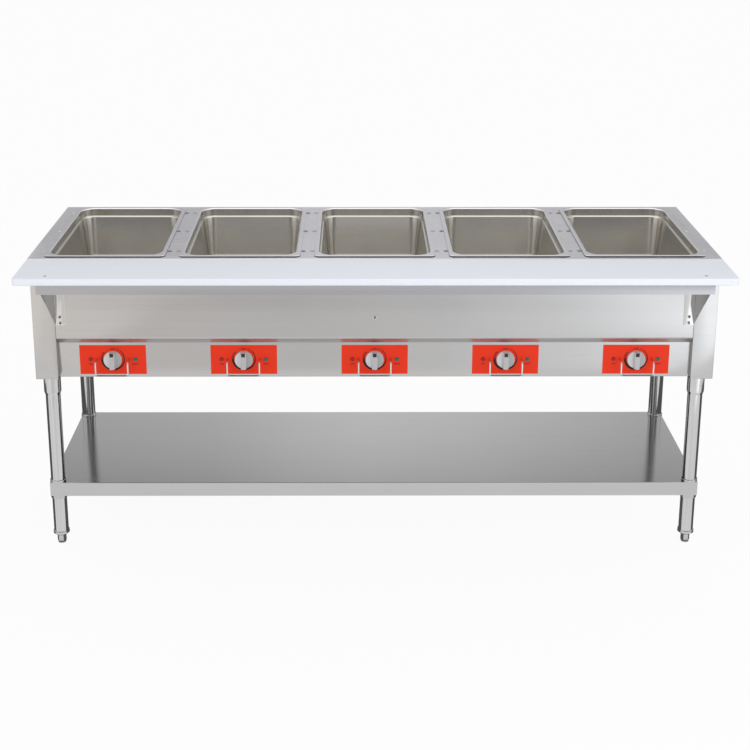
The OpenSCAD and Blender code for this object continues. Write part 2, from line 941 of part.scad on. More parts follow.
// Shelf with its edges turned down and in, welded to four collars round the legs
module undershelf() {
    low = shelf_h - shelf_edge;
    color(steel)
        difference() {
            union() {
                block([-shelf_x, shelf_front, low], [shelf_x, shelf_back, shelf_h]);
                for (spot = leg_spots)
                    translate([spot[0] * leg_x, leg_y(spot[1]), shelf_h + collar_rise - collar_h])
                        cylinder(d = collar_d, h = collar_h);
            }
            shelf_hollow(low);
            for (spot = leg_spots)
                translate([spot[0] * leg_x, leg_y(spot[1]), low - collar_h])
                    cylinder(d = leg_d + 2 * slip_gap, h = 3 * collar_h);
        }
}

// Space under the shelf's sheet, inside its turned-down edges and outside its collars
module shelf_hollow(low) {
    t = sheet_t;
    difference() {
        union() {
            block([-shelf_x + t, shelf_front + t, low + t], [shelf_x - t, shelf_back - t, shelf_h - t]);
            block([-shelf_x + shelf_lip, shelf_front + shelf_lip, low - past],
                [shelf_x - shelf_lip, shelf_back - shelf_lip, low + t + past]);
        }
        for (spot = leg_spots)
            translate([spot[0] * leg_x, leg_y(spot[1]), low - collar_h])
                cylinder(d = collar_d, h = 3 * collar_h);
    }
}

// Hat sections under the shelf
module shelf_stiffeners() {
    half = shelf_x - stiffener_in;
    mid = (shelf_front + shelf_back) / 2;
    top = shelf_h - sheet_t;
    t = sheet_t;
    w = stiffener_w / 2;
    color(steel)
        for (s = [-1, 1])
            along_x(-half, half)
                translate([mid + s * stiffener_spread, top])
                    polygon([[-w - stiffener_foot, 0], [-w + t, 0], [-w + t, t - stiffener_h],
                        [w - t, t - stiffener_h], [w - t, 0], [w + stiffener_foot, 0],
                        [w + stiffener_foot, -t], [w, -t], [w, -stiffener_h], [-w, -stiffener_h],
                        [-w, -t], [-w - stiffener_foot, -t]]);
}

// Rivets that hold the wells to the counter
module rivets() {
    tail_z = counter_under - well_t - rivet_tail_h;
    color(bright)
        for (i = [1:well_count])
            translate([well_x(i), well_y, 0])
                rivet_spots() {
                    translate([0, 0, counter_h])
                        cylinder(d1 = rivet_head_d, d2 = rivet_face_d, h = rivet_head_h);
                    translate([0, 0, tail_z])
                        cylinder(d = rivet_d, h = counter_h - tail_z);
                    translate([0, 0, tail_z])
                        cylinder(d = rivet_tail_d, h = rivet_tail_h);
                }
}

// Screws in the front panel: one in its middle and two through each bracket
module screws() {
    color(bright) {
        panel_screw_spot()
            screw();
        gusset_screw_spots()
            screw();
    }
}

module screw() {
    domed_head(screw_head_d, screw_head_h);
    translate([0, 0, -screw_length])
        cylinder(d = screw_d, h = screw_length);
}

// Block on the bottom panel that the supply wires end in
module terminal_block() {
    z = body_z + 2 * sheet_t;
    pole = block_w / block_poles;
    color(cream)
        translate([gland_x - block_w / 2, back_y - 2 * sheet_t - 2 * block_d, z])
            difference() {
                cube([block_w, block_d, block_h]);
                for (k = [0:block_poles - 1], y = [-past, block_d - block_pocket])
                    translate([k * pole + block_wall / 2, y, block_h / 2])
                        cube([pole - block_wall, block_pocket + past, block_h]);
            }
}

// Gland in the rear panel for the supply lead
module cable_gland() {
    y = back_y - sheet_t;
    thread = sheet_t + gland_nut_h + gland_thread_tail;
    color(dark)
        translate([gland_x, y, gland_z])
            rotate([-90, 0, 0])
                difference() {
                    union() {
                        translate([0, 0, -thread])
                            cylinder(d = gland_thread_d, h = thread);
                        translate([0, 0, -sheet_t - gland_nut_h])
                            cylinder(d = gland_nut_d, h = gland_nut_h, $fn = 6);
                        cylinder(d = gland_nut_d, h = gland_nut_h, $fn = 6);
                        translate([0, 0, gland_nut_h])
                            cylinder(r1 = gland_thread_d / 2 + gland_dome_step,
                                r2 = gland_thread_d / 2 - gland_dome_step, h = gland_dome_h - gland_nut_h);
                    }
                    translate([0, 0, -thread - past])
                        cylinder(d = gland_bore, h = thread + gland_dome_h + 2 * past);
                }
}

// Surface of a pan's wall as points from the rim to the bottom, drawn out from its inside by o
ledge_top_r = 2;
ledge_low_r = 3;
ledge_flat = 0.5;
rim_bend_r = 4;
bottom_r = 14;
rim_lip = 0.7;
function lean_normal() = [cos(-pan_lean), sin(-pan_lean)];
function ledge_low_c() =
    [pan_corner_r - ledge_top_r - ledge_flat, -pan_ledge_z - ledge_top_r - ledge_low_r];
function bottom_c() =
    let (z = pan_t + bottom_r - pan_depth)
    [(ledge_low_c() * lean_normal() - ledge_low_r - bottom_r - z * lean_normal()[1]) / lean_normal()[0], z];
function pan_wall(o) = concat(
    arc([pan_corner_r + rim_bend_r, -rim_bend_r], rim_bend_r - o, 90, 180),
    arc([pan_corner_r - ledge_top_r, -pan_ledge_z], ledge_top_r + o, 0, -90),
    arc(ledge_low_c(), ledge_low_r - o, 90, 180 - pan_lean),
    arc(bottom_c(), bottom_r + o, -pan_lean, -90));

// Deep-drawn pan: rim with a rolled edge, upright band, stacking ledge, leaning wall and flat bottom
module pan(i) {
    base = bottom_c();
    centre_w = pan_inside_w / 2 - pan_corner_r;
    centre_l = pan_inside_l / 2 - pan_corner_r;
    rim_inner_r = pan_corner_r + rim_bend_r;
    color(satin)
        translate([well_x(i), well_y, pan_top]) {
            round_sweep(pan_inside_w, pan_inside_l, pan_corner_r)
                polygon(concat(pan_wall(0), back_to_front(pan_wall(pan_t))));
            translate([0, 0, -pan_depth])
                linear_extrude(pan_t)
                    round_rect(2 * (centre_w + base[0]), 2 * (centre_l + base[0]), base[0]);
            translate([0, 0, -pan_t])
                linear_extrude(pan_t)
                    difference() {
                        round_rect(pan_w - 2 * pan_rim_h, pan_l - 2 * pan_rim_h, pan_rim_r - pan_rim_h);
                        round_rect(2 * (centre_w + rim_inner_r), 2 * (centre_l + rim_inner_r), rim_inner_r);
                    }
            round_sweep(pan_w, pan_l, pan_rim_r)
                pan_edge();
        }
}

// Rolled edge of a pan's rim, in section
module pan_edge() {
    bend = pan_rim_h - rim_lip;
    c = [pan_rim_r - bend, -bend];
    polygon(concat([[pan_rim_r - pan_rim_h, 0]], arc(c, bend, 90, 0), [[pan_rim_r, -pan_rim_h]],
        [[pan_rim_r - pan_t, -pan_rim_h]], back_to_front(arc(c, bend - pan_t, 90, 0)),
        [[pan_rim_r - pan_rim_h, -pan_t]]));
}

countertop();
end_panel(-1);  // end_panel_left
end_panel(1);  // end_panel_right
front_panel();
control_panel();
rear_panel();
bottom_panel();
board_support();
board_gusset(-1);  // board_gusset_left
board_gusset(1);  // board_gusset_right
board_pins();
well(1);  // well_1
well(2);  // well_2
well(3);  // well_3
well(4);  // well_4
well(5);  // well_5
heating_element(1);  // heating_element_1
heating_element(2);  // heating_element_2
heating_element(3);  // heating_element_3
heating_element(4);  // heating_element_4
heating_element(5);  // heating_element_5
insulation();
control_switch(1);  // control_switch_1
control_switch(2);  // control_switch_2
control_switch(3);  // control_switch_3
control_switch(4);  // control_switch_4
control_switch(5);  // control_switch_5
label_plates();
red_lamps();
green_lamps();
knob_guards();
leg(-1, 0);  // leg_front_left
leg(1, 0);  // leg_front_right
leg(-1, 1);  // leg_rear_left
leg(1, 1);  // leg_rear_right
leg_sockets();
foot_plugs();
undershelf();
shelf_stiffeners();
rivets();
screws();
terminal_block();
cable_gland();
pan(1);  // pan_1
pan(2);  // pan_2
pan(3);  // pan_3
pan(4);  // pan_4
pan(5);  // pan_5
knob(1);  // knob_1
knob(2);  // knob_2
knob(3);  // knob_3
knob(4);  // knob_4
knob(5);  // knob_5
cutting_board();
foot(-1, 0);  // foot_front_left
foot(1, 0);  // foot_front_right
foot(-1, 1);  // foot_rear_left
foot(1, 1);  // foot_rear_right
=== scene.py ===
"""Looks of a five-well hot food table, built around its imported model."""

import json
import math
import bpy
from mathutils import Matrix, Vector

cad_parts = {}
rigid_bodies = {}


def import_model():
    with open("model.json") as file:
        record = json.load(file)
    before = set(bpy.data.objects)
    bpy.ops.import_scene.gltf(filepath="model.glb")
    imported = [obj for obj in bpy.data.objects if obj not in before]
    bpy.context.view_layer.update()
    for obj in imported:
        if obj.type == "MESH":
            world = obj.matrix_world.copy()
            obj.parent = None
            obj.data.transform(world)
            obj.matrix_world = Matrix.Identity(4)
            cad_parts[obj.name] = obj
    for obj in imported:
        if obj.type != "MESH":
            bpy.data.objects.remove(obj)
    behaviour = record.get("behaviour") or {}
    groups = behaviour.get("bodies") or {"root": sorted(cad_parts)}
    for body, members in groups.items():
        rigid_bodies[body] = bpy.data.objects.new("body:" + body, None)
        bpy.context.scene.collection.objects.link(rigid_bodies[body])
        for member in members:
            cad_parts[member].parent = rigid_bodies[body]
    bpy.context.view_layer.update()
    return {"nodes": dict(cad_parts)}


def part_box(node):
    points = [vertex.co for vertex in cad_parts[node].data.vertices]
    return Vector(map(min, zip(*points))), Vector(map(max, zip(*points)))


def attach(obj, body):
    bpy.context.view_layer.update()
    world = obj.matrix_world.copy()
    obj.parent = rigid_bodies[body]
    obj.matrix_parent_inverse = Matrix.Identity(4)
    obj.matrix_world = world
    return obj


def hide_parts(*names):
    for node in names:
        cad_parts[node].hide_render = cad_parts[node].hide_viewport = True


bl_info = {
    "name": "Hot Food Table",
    "version": (1, 0, 0),
    "blender": (4, 5, 0),
    "location": "3D View > Sidebar > Food Table",
    "description": "Folded sheets, drawn pans, knobs, prints and finishes of a hot food table",
    "category": "Object",
}

import bmesh
import bpy
from bpy.props import FloatProperty, FloatVectorProperty, PointerProperty
from mathutils import Matrix, Vector

for leftover in list(bpy.data.objects):
    bpy.data.objects.remove(leftover)
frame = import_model()
nodes = frame["nodes"]

WELLS = range(1, 6)
LEGS = ("front_left", "front_right", "rear_left", "rear_right")
COUNTER_LOW, COUNTER_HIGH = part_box("countertop")
PANEL_LOW, PANEL_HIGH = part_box("front_panel")
CONTROL_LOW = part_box("control_panel")[0]
LABEL_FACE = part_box("label_plates")[0].y

# Distances under which two places count as one, in metres
NEAR = 2e-5
WELD = NEAR / 10

# Angle under which neighbouring triangles of a node count as one flat face
FLATNESS = math.radians(0.5)

# Parts of a face's normal from which it counts as facing a way
FACING = 0.9
FLAT_FACING = 0.99
SLOPING = 0.6
SIDEWAYS = 0.5

QUARTER = math.pi / 2
TO_FRONT = (QUARTER, 0, 0)

# Print of a label plate: font size to letter height, and places of the words from the knob's middle
FONT_SIZE = 1.42
OFF_UP = 0.0290
HIGH_ASIDE, HIGH_UP = 0.0139, 0.0275
LAMP_WORD_UP = -0.0145

# Heat scale: angles of its crescent, then the degrees and length of each tick
SCALE_THINNEST = math.radians(48)
SCALE_START = math.radians(52)
TICKS = ((173, 0.0064), (163, 0.0060), (153, 0.0054), (143, 0.0046))
TICK_WIDTH = 0.0026

# Mark on a knob's grip: thickness, rounding, depth of its hollow, and border as a share of its side
MARK_SHEET, MARK_ROUND, MARK_HOLLOW = 0.0006, 0.0001, 0.0002
MARK_BORDER = 0.3

# Screw head: half width and reach of the cross to its radius, and dome to its height
CROSS_ARM, CROSS_REACH, DOME = 0.36, 0.62, 0.6

# Studio: height over which a card's upward stops run, and brightness of far_card beside front_card's
CARD_HEIGHT = 4.0
FAR_SHARE = 0.88
WHITE = (1, 1, 1, 1)


def length(name, description, default):
    """A length that a user can change, in metres."""
    return FloatProperty(name=name, description=description, default=default, min=0, unit="LENGTH")


def angle(name, description, degrees):
    """An angle that a user can change."""
    turn = math.radians(degrees)
    return FloatProperty(name=name, description=description, default=turn, subtype="ANGLE")


def amount(name, description, default, unit="NONE"):
    """Another number that a user can change."""
    return FloatProperty(name=name, description=description, default=default, unit=unit)


def colour(name, description, default):
    """A linear colour that a user can change."""
    return FloatVectorProperty(
        name=name, description=description, default=default, subtype="COLOR", size=3, min=0, max=1
    )


class TableSizes(bpy.types.PropertyGroup):
    """Sizes of what is modelled here."""

    sheet: length("Sheet", "Thickness of the folded sheets", 0.0015)
    fold: length("Fold radius", "Outer radius of the folded sheets", 0.0026)
    pan_corner: length("Pan corner", "Radius of a pan's upright corners, inside", 0.042)
    pan_rim: length("Pan rim", "Width of a pan's flat rim", 0.0125)
    pan_rim_corner: length("Rim corner", "Corner radius of a pan's rim", 0.014)
    pan_roll: length("Rim roll", "Radius of the rim's rolled edge", 0.0010)
    pan_rim_bend: length("Rim bend", "Radius between the rim and the pan's wall", 0.004)
    pan_ledge: length("Ledge depth", "Depth of the stacking ledge below the rim", 0.022)
    pan_ledge_bend: length("Ledge bend", "Upper radius of the stacking ledge", 0.002)
    pan_ledge_foot: length("Ledge foot", "Lower radius of the stacking ledge", 0.003)
    pan_ledge_flat: length("Ledge flat", "Flat width of the stacking ledge", 0.0005)
    pan_lean: angle("Wall lean", "How far a pan's wall leans inwards", 6)
    pan_bottom: length("Bottom bend", "Radius between a pan's wall and its bottom", 0.014)
    pan_sheet: length("Pan sheet", "Sheet thickness of a pan", 0.001)
    grip_width: length("Grip width", "Width of a knob's grip", 0.0165)
    grip_lean: length("Grip lean", "How much a grip narrows on each side", 0.0014)
    grip_height: length("Grip height", "Height of a knob's grip over its skirt", 0.0135)
    knob_skirt: length("Knob skirt", "Thickness of a knob's skirt", 0.009)
    knob_round: length("Knob rounding", "Rounding of a knob's edges", 0.0012)
    spindle: length("Spindle radius", "Radius of a control's spindle", 0.003)
    mark: length("Mark size", "Side of the dark mark on a knob's grip", 0.0102)
    mark_rise: length("Mark rise", "Distance of the mark from the knob's axis", 0.0184)
    scale_outer: length("Scale radius", "Outer radius of the printed heat scale", 0.0325)
    scale_inner: length("Scale inside", "Inner radius of the printed heat scale", 0.0285)
    scale_shift: length("Scale shift", "How far the scale's two circles stand apart", 0.0021)
    letters: length("Letter height", "Height of the printed letters", 0.0052)
    ink: length("Ink thickness", "Thickness of the printed ink", 0.00012)
    screw_head: length("Screw head", "Height of a screw head", 0.0026)
    recess: length("Screw recess", "Depth of the cross recess in a screw head", 0.0012)
    board_round: length("Board rounding", "Rounding of the cutting board's upper edges", 0.003)
    lip: length("Collar lip", "Height of the lip of a collar over the undershelf", 0.0062)
    guard: length("Guard wire", "Diameter of the knob guards' wire", 0.0045)


class TableColours(bpy.types.PropertyGroup):
    """Colours of the finishes."""

    panel: colour("Panels", "Brushed sheet of the body", (0.520, 0.511, 0.506))
    # Counter: on the pans' rims this colour is painted light, a lit copy of the pans' steel.
    counter: colour("Counter", "Satin sheet of the counter and the pans' rims", (0.655, 0.645, 0.684))
    # Board support: its darker sheet is painted shade, standing for the shade under the cutting board's
    # overhang.
    strip: colour("Board support", "Darker sheet of the board's support", (0.455, 0.452, 0.470))
    # Brackets: the flanges' brighter sheet is painted light, a lit copy of the body's steel.
    bracket: colour("Brackets", "Bright sheet of the board's brackets", (0.640, 0.630, 0.620))
    # Webs: this darker sheet is painted shade on the brackets' webs and the columns' returns.
    web: colour("Webs", "Shaded sheet of bracket webs and column returns", (0.300, 0.295, 0.285))
    # Underside: zinc-coated sheet, darkened further as painted shade for the shade under the body, which
    # the shelf mirrors.
    under: colour("Underside", "Dull zinc-coated sheet of the bottom", (0.240, 0.243, 0.250))
    # Cut edges: this dark finish is painted shadow, the dark line of the gaps beside the brackets' flanges
    # and under the pans' rims.
    cut: colour("Cut edges", "Dark cut edges of the sheets", (0.090, 0.088, 0.086))
    shelf: colour("Shelf", "Brushed sheet of the undershelf", (0.520, 0.518, 0.525))
    pan: colour("Pans", "Drawn sheet of the pans", (0.565, 0.548, 0.512))
    well: colour("Wells", "Plain sheet of the well liners", (0.640, 0.632, 0.610))
    tube: colour("Tubes", "Polished tube of the legs", (0.600, 0.600, 0.600))
    wire: colour("Wire", "Bright wire of the knob guards", (0.720, 0.720, 0.725))
    # Guard bars: this darker wire is painted shade, a shaded copy of the guards' wire.
    bar: colour("Guard bars", "Duller wire of the guards' lower bars", (0.300, 0.300, 0.305))
    foot: colour("Feet", "Plain metal of the plugs and feet", (0.660, 0.660, 0.665))
    screw: colour("Screws", "Bright plating of the screw heads", (0.860, 0.860, 0.865))
    # Rivets: this dark tone is painted shade, the dark look of the heads in the counter's sheet.
    rivet: colour("Rivets", "Dull metal of the rivets", (0.215, 0.213, 0.220))
    # Board pins: their dark tone is painted shade, standing for the shade in the holes they sit in.
    pin: colour("Board pins", "Dull metal of the board's pins", (0.230, 0.230, 0.238))
    board: colour("Board", "White plastic of the cutting board", (0.790, 0.815, 0.880))
    # Labels: on the guards' lugs this red is a painted reflection of the plates.
    label: colour("Labels", "Printed red of the label plates", (0.800, 0.032, 0.005))
    ink: colour("Ink", "Dark ink of the scales", (0.012, 0.012, 0.013))
    knob: colour("Knobs", "Silver plastic of the knobs", (0.640, 0.645, 0.655))
    mark: colour("Marks", "Dark marks on the knobs", (0.020, 0.020, 0.024))
    red_lens: colour("Red lens", "Unlit red lens", (0.300, 0.020, 0.014))
    green_lens: colour("Green lens", "Faintly lit green lens", (0.008, 0.130, 0.095))
    element: colour("Element", "Dark sheath of the heating elements", (0.060, 0.054, 0.050))
    wool: colour("Insulation", "Mineral wool", (0.620, 0.540, 0.280))
    black: colour("Black plastic", "Moulded black plastic", (0.020, 0.020, 0.021))
    cream: colour("Terminal block", "Moulded pale plastic", (0.700, 0.690, 0.640))


class StageSettings(bpy.types.PropertyGroup):
    """Camera, floor, lamps and cards."""

    eye: FloatVectorProperty(
        name="Camera place", description="Where the camera stands", subtype="TRANSLATION",
        default=(-0.0538, -3.8028, 1.9016),
    )
    pitch: angle("Pitch", "How far the camera looks down", 16.055)
    yaw: angle("Yaw", "How far the camera looks to the left", -0.258)
    roll: angle("Roll", "Tilt of the camera about its view", 0.049)
    lens: amount("Lens", "Focal length of the camera", 67.95, "CAMERA")
    shift_x: amount("Shift X", "Sideways shift of the frame", 0.0188)
    shift_y: amount("Shift Y", "Upward shift of the frame", -0.1631)
    floor: length("Floor", "Half width of the floor", 30.0)
    lamp_size: length("Lamp size", "Side of each square lamp", 3.0)
    sky: amount("Sky light", "Light that comes from all around", 0.80)
    key: amount("Key lamp", "Power of the lamp at the front right", 38.0, "POWER")
    fill: amount("Fill lamp", "Power of the lamp at the front left", 24.0, "POWER")
    paper: amount("Floor glow", "Share of the floor's white that needs no light", 0.94)
    back_card: amount("Back card", "Brightness of the grey card behind the table", 0.88)
    top_card: amount("Top card", "Brightness of the card over the table", 1.9)
    room_card: amount("Room card", "Brightness of the dim card behind the camera", 0.5)
    front_card: amount("Front card", "Brightness of the pale card before the table", 1.68)
    # Floor card: a dark card that only mirrors show, painted shadow of the table on the floor round the
    # legs.
    floor_card: amount("Floor card", "Brightness of the dark card round the legs", 0.12)


def sizes():
    return bpy.context.scene.food_table_sizes


def colours():
    return bpy.context.scene.food_table_colours


def settings():
    return bpy.context.scene.food_table_stage


class Value:
    """A socket of a material, on which Python's operators add Math nodes."""

    def __init__(self, finish, socket):
        self.finish = finish
        self.socket = socket

    def math(self, operation, first, second):
        return self.finish.node("ShaderNodeMath", {"operation": operation}, {0: first, 1: second})

    def __add__(self, other):
        return self.math("ADD", self, other)

    def __radd__(self, other):
        return self.math("ADD", other, self)

    def __sub__(self, other):
        return self.math("SUBTRACT", self, other)

    def __rsub__(self, other):
        return self.math("SUBTRACT", other, self)

    def __mul__(self, other):
        return self.math("MULTIPLY", self, other)

    def __rmul__(self, other):
        return self.math("MULTIPLY", other, self)


class Finish:
    """A procedural material, built node by node on the object's own coordinates."""

    def __init__(self, name, owner=None):
        self.material = owner or bpy.data.materials.new(name)
        self.material.use_nodes = True
        self.tree = self.material.node_tree
        self.tree.nodes.clear()

    def node(self, kind, setup=None, inputs=None, out=0):
        """Adds a node, sets it up, feeds its sockets and returns one of its outputs."""
        made = self.tree.nodes.new(kind)
        for key, value in (setup or {}).items():
            if key == "stops":
                self.set_stops(made.color_ramp, value)
            else:
                setattr(made, key, value)
        for key, value in (inputs or {}).items():
            socket = made.inputs[key]
            if isinstance(value, Value):
                self.tree.links.new(value.socket, socket)
            else:
                socket.default_value = value
        return Value(self, made.outputs[out]) if made.outputs else made

    def set_stops(self, ramp, stops):
        while len(ramp.elements) < len(stops):
            ramp.elements.new(0.5)
        for element, (place, shade) in zip(ramp.elements, stops):
            element.position = place
            element.color = (shade, shade, shade, 1)

    def place(self, scale, shift=(0, 0, 0)):
        """Object coordinates in metres, scaled and moved."""
        coordinates = self.node("ShaderNodeTexCoord", out="Object")
        inputs = {"Vector": coordinates, "Location": shift, "Scale": scale}
        return self.node("ShaderNodeMapping", {}, inputs)

    def noise(self, scale, detail=2.0, roughness=0.5, shift=(0, 0, 0)):
        """Noise stretched by a scale for each axis, per metre."""
        vector = self.place(scale, shift)
        inputs = {"Vector": vector, "Scale": 1.0, "Detail": detail, "Roughness": roughness}
        return self.node("ShaderNodeTexNoise", {}, inputs, out="Fac")

    def ramp(self, value, stops):
        return self.node("ShaderNodeValToRGB", {"stops": stops}, {"Fac": value})

    def tint(self, factor, first, second):
        """Blend of two colours."""
        inputs = {0: factor, 6: (*first, 1), 7: (*second, 1)}
        return self.node("ShaderNodeMix", {"data_type": "RGBA"}, inputs, out=2)

    def tone(self, factor, base, first, second):
        """Blend of two shares of a colour."""
        return self.tint(factor, scaled(base, first), scaled(base, second))

    def bump(self, height, strength, distance):
        """Fine relief, its distance in metres."""
        inputs = {"Strength": strength, "Distance": distance, "Height": height}
        return self.node("ShaderNodeBump", {}, inputs)

    def shade(self, base, roughness, normal, metallic=0.0, **constants):
        """The surface shader and the material's output."""
        inputs = {"Base Color": base, "Roughness": roughness, "Metallic": metallic, "Normal": normal}
        for key, value in constants.items():
            inputs[key.replace("_", " ")] = value
        self.show(self.node("ShaderNodeBsdfPrincipled", {}, inputs))
        return self.material

    def show(self, shader, output="ShaderNodeOutputMaterial"):
        self.node(output, {}, {"Surface": shader})


def scaled(base, share):
    """A share of a colour, no brighter than 1."""
    return tuple(min(1.0, c * share) for c in base)


def brushed_steel(name, base, grain, rough, spread=0.06, depth=0.00004):
    """Brushed sheet: long fine scratches, broader streaks and faint smears from wiping."""
    finish = Finish(name)
    fine = finish.noise(grain, detail=5, roughness=0.65)
    broad = finish.noise([g * 0.14 for g in grain], detail=3, shift=(3.1, 1.7, 0.4))
    smear = finish.noise((2.6, 2.6, 3.4), detail=3, roughness=0.6, shift=(0.7, 2.2, 5.1))
    mask = finish.ramp(fine * 0.4 + broad * 0.25 + smear * 0.35, ((0.3, 0.0), (0.7, 1.0)))
    shade = finish.tone(mask, base, 1 - spread, 1 + spread)
    roughness = (fine - 0.5) * 0.1 + (smear - 0.5) * 0.08 + rough
    return finish.shade(shade, roughness, finish.bump(fine, 0.25, depth), metallic=1.0)


def satin_counter(name):
    """Satin sheet of the counter, which the pans' rims share as painted light, brighter than the pans' own
    walls.
    """
    return brushed_steel(name, colours().counter, (6, 1900, 1900), rough=0.27, spread=0.05)


def drawn_steel(name, base):
    """Drawn sheet of the pans: satin, with soft vertical draw lines and faint scouring."""
    finish = Finish(name)
    lines = finish.noise((900, 900, 14), detail=4, roughness=0.6)
    scour = finish.noise((700, 760, 640), detail=3, roughness=0.7, shift=(2, 5, 1))
    stain = finish.noise((7, 7, 5), detail=4, roughness=0.6, shift=(4, 1, 3))
    mask = finish.ramp(lines * 0.25 + scour * 0.25 + stain * 0.5, ((0.32, 0.0), (0.68, 1.0)))
    shade = finish.tone(mask, base, 0.92, 1.06)
    roughness = (lines - 0.5) * 0.05 + (stain - 0.5) * 0.1 + 0.2
    normal = finish.bump(lines * 0.6 + scour * 0.4, 0.1, 0.000008)
    return finish.shade(shade, roughness, normal, metallic=1.0)


def polished_tube(name, base, rough=0.08):
    """Polished tube or wire, with faint lines left by the belt and drawing streaks along it."""
    finish = Finish(name)
    lines = finish.noise((90, 90, 420), detail=4, roughness=0.6)
    streaks = finish.noise((330, 330, 1.6), detail=3, roughness=0.6, shift=(4, 2, 1))
    haze = finish.noise((14, 14, 9), detail=3, shift=(1, 2, 3))
    mask = finish.ramp(lines * 0.2 + streaks * 0.55 + haze * 0.25, ((0.34, 0.0), (0.66, 1.0)))
    shade = finish.tone(mask, base, 0.84, 1.1)
    roughness = (lines - 0.5) * 0.06 + (haze - 0.5) * 0.06 + rough
    return finish.shade(shade, roughness, finish.bump(streaks, 0.12, 0.00006), metallic=1.0)


def plain_metal(name, base, rough=0.32):
    """Plain metal of small fittings, slightly dulled in patches."""
    finish = Finish(name)
    patch = finish.noise((160, 160, 160), detail=3, roughness=0.6)
    shade = finish.tone(patch, base, 0.85, 1.1)
    roughness = (patch - 0.5) * 0.2 + rough
    return finish.shade(shade, roughness, finish.bump(patch, 0.15, 0.0001), metallic=1.0)


def board_plastic(name, base):
    """White polyethylene: a waxy surface with fine crossing knife marks."""
    finish = Finish(name)
    wave = finish.noise((9, 14, 9), detail=3)
    along = finish.noise((6, 420, 60), detail=4, roughness=0.7)
    across = finish.noise((380, 7, 60), detail=4, roughness=0.7, shift=(5, 3, 1))
    cuts = finish.ramp(along, ((0.68, 0.0), (0.76, 1.0))) + finish.ramp(across, ((0.7, 0.0), (0.78, 1.0)))
    pebble = finish.noise((700, 700, 700), detail=2)
    shade = finish.tone(wave * 0.7 + cuts * 0.3, base, 1.015, 0.975)
    roughness = (wave - 0.5) * 0.12 + cuts * 0.08 + 0.42
    return finish.shade(shade, roughness, finish.bump(pebble * 0.5 - cuts * 0.5, 0.12, 0.00012), IOR=1.5)


def printed_plate(name, base):
    """Printed plate: even ink over fine brushed metal, with a slight sheen."""
    finish = Finish(name)
    grain = finish.noise((14, 14, 1500), detail=3)
    cloud = finish.noise((22, 22, 26), detail=3, shift=(2, 2, 2))
    shade = finish.tone(grain * 0.5 + cloud * 0.5, base, 0.93, 1.07)
    roughness = (cloud - 0.5) * 0.12 + 0.42
    return finish.shade(shade, roughness, finish.bump(grain, 0.12, 0.00004), Specular_IOR_Level=0.2)


def moulded_plastic(name, base, rough, metallic=0.0):
    """Moulded plastic with a fine eroded texture."""
    finish = Finish(name)
    pebble = finish.noise((1600, 1600, 1600), detail=3)
    cloud = finish.noise((60, 60, 60), detail=3, shift=(3, 1, 2))
    shade = finish.tone(pebble * 0.5 + cloud * 0.5, base, 0.94, 1.06)
    roughness = (cloud - 0.5) * 0.14 + rough
    return finish.shade(shade, roughness, finish.bump(pebble, 0.18, 0.00006), metallic=metallic)


def lens_plastic(name, base, glow):
    """Lamp lens with moulded facets inside and a glossy skin."""
    finish = Finish(name)
    inputs = {"Vector": finish.place((900, 900, 900)), "Scale": 1.0}
    facets = finish.node("ShaderNodeTexVoronoi", {}, inputs)
    return finish.shade(
        finish.tone(facets, base, 1.35, 0.7),
        facets * 0.12 + 0.16,
        finish.bump(facets, 0.2, 0.0002),
        Coat_Weight=0.15,
        Specular_IOR_Level=0.25,
        Emission_Color=(*base, 1),
        Emission_Strength=glow,
    )


def dark_sheath(name, base):
    """Oxidised heater sheath with straw and blue tints."""
    finish = Finish(name)
    heat = finish.noise((30, 12, 30), detail=4, roughness=0.6)
    speck = finish.noise((500, 500, 500), detail=3)
    straw = [c * share for c, share in zip(base, (2.2, 1.9, 1.8))]
    shade = finish.tint(heat, scaled(base, 0.7), straw)
    roughness = (speck - 0.5) * 0.2 + 0.5
    return finish.shade(shade, roughness, finish.bump(speck, 0.3, 0.0001), metallic=0.7)


def mineral_wool(name, base):
    """Pressed mineral wool with loose fibres."""
    finish = Finish(name)
    fibre = finish.noise((220, 60, 500), detail=6, roughness=0.75)
    return finish.shade(finish.tone(fibre, base, 0.6, 1.25), 0.95, finish.bump(fibre, 0.8, 0.001))


def deselect():
    """Clears the selection, which the loaded nodes start in."""
    bpy.ops.object.select_all(action="DESELECT")


def activate(piece):
    deselect()
    piece.select_set(True)
    bpy.context.view_layer.objects.active = piece


def pick_all():
    bpy.ops.mesh.select_all(action="SELECT")


def edit(piece):
    """Opens a piece in edit mode by its vertices, with all of it selected."""
    activate(piece)
    bpy.ops.object.mode_set(mode="EDIT")
    bpy.ops.mesh.select_mode(type="VERT")
    pick_all()


def leave():
    bpy.ops.object.mode_set(mode="OBJECT")


def pick(piece, kind, test):
    """Selects only what passes a test among the piece's edges or faces, in edit mode."""
    bpy.ops.mesh.select_mode(type=kind[:-1].upper())
    bpy.ops.mesh.select_all(action="DESELECT")
    mesh = bmesh.from_edit_mesh(piece.data)
    found = [part for part in getattr(mesh, kind) if test(part)]
    for part in found:
        part.select_set(True)
    mesh.select_flush_mode()
    bmesh.update_edit_mesh(piece.data)
    if not found:
        raise RuntimeError(f"{piece.name}: nothing to select among its {kind}")


def extrude(move):
    bpy.ops.mesh.extrude_region_move(TRANSFORM_OT_translate={"value": move})


def bevel(offset, segments):
    bpy.ops.mesh.bevel(offset=offset, segments=segments, affect="EDGES", clamp_overlap=True)


def weld():
    pick_all()
    bpy.ops.mesh.remove_doubles(threshold=WELD)


def face_outwards():
    pick_all()
    bpy.ops.mesh.normals_make_consistent(inside=False)


def named(piece, name):
    piece.name = name
    piece.data.name = name
    return piece


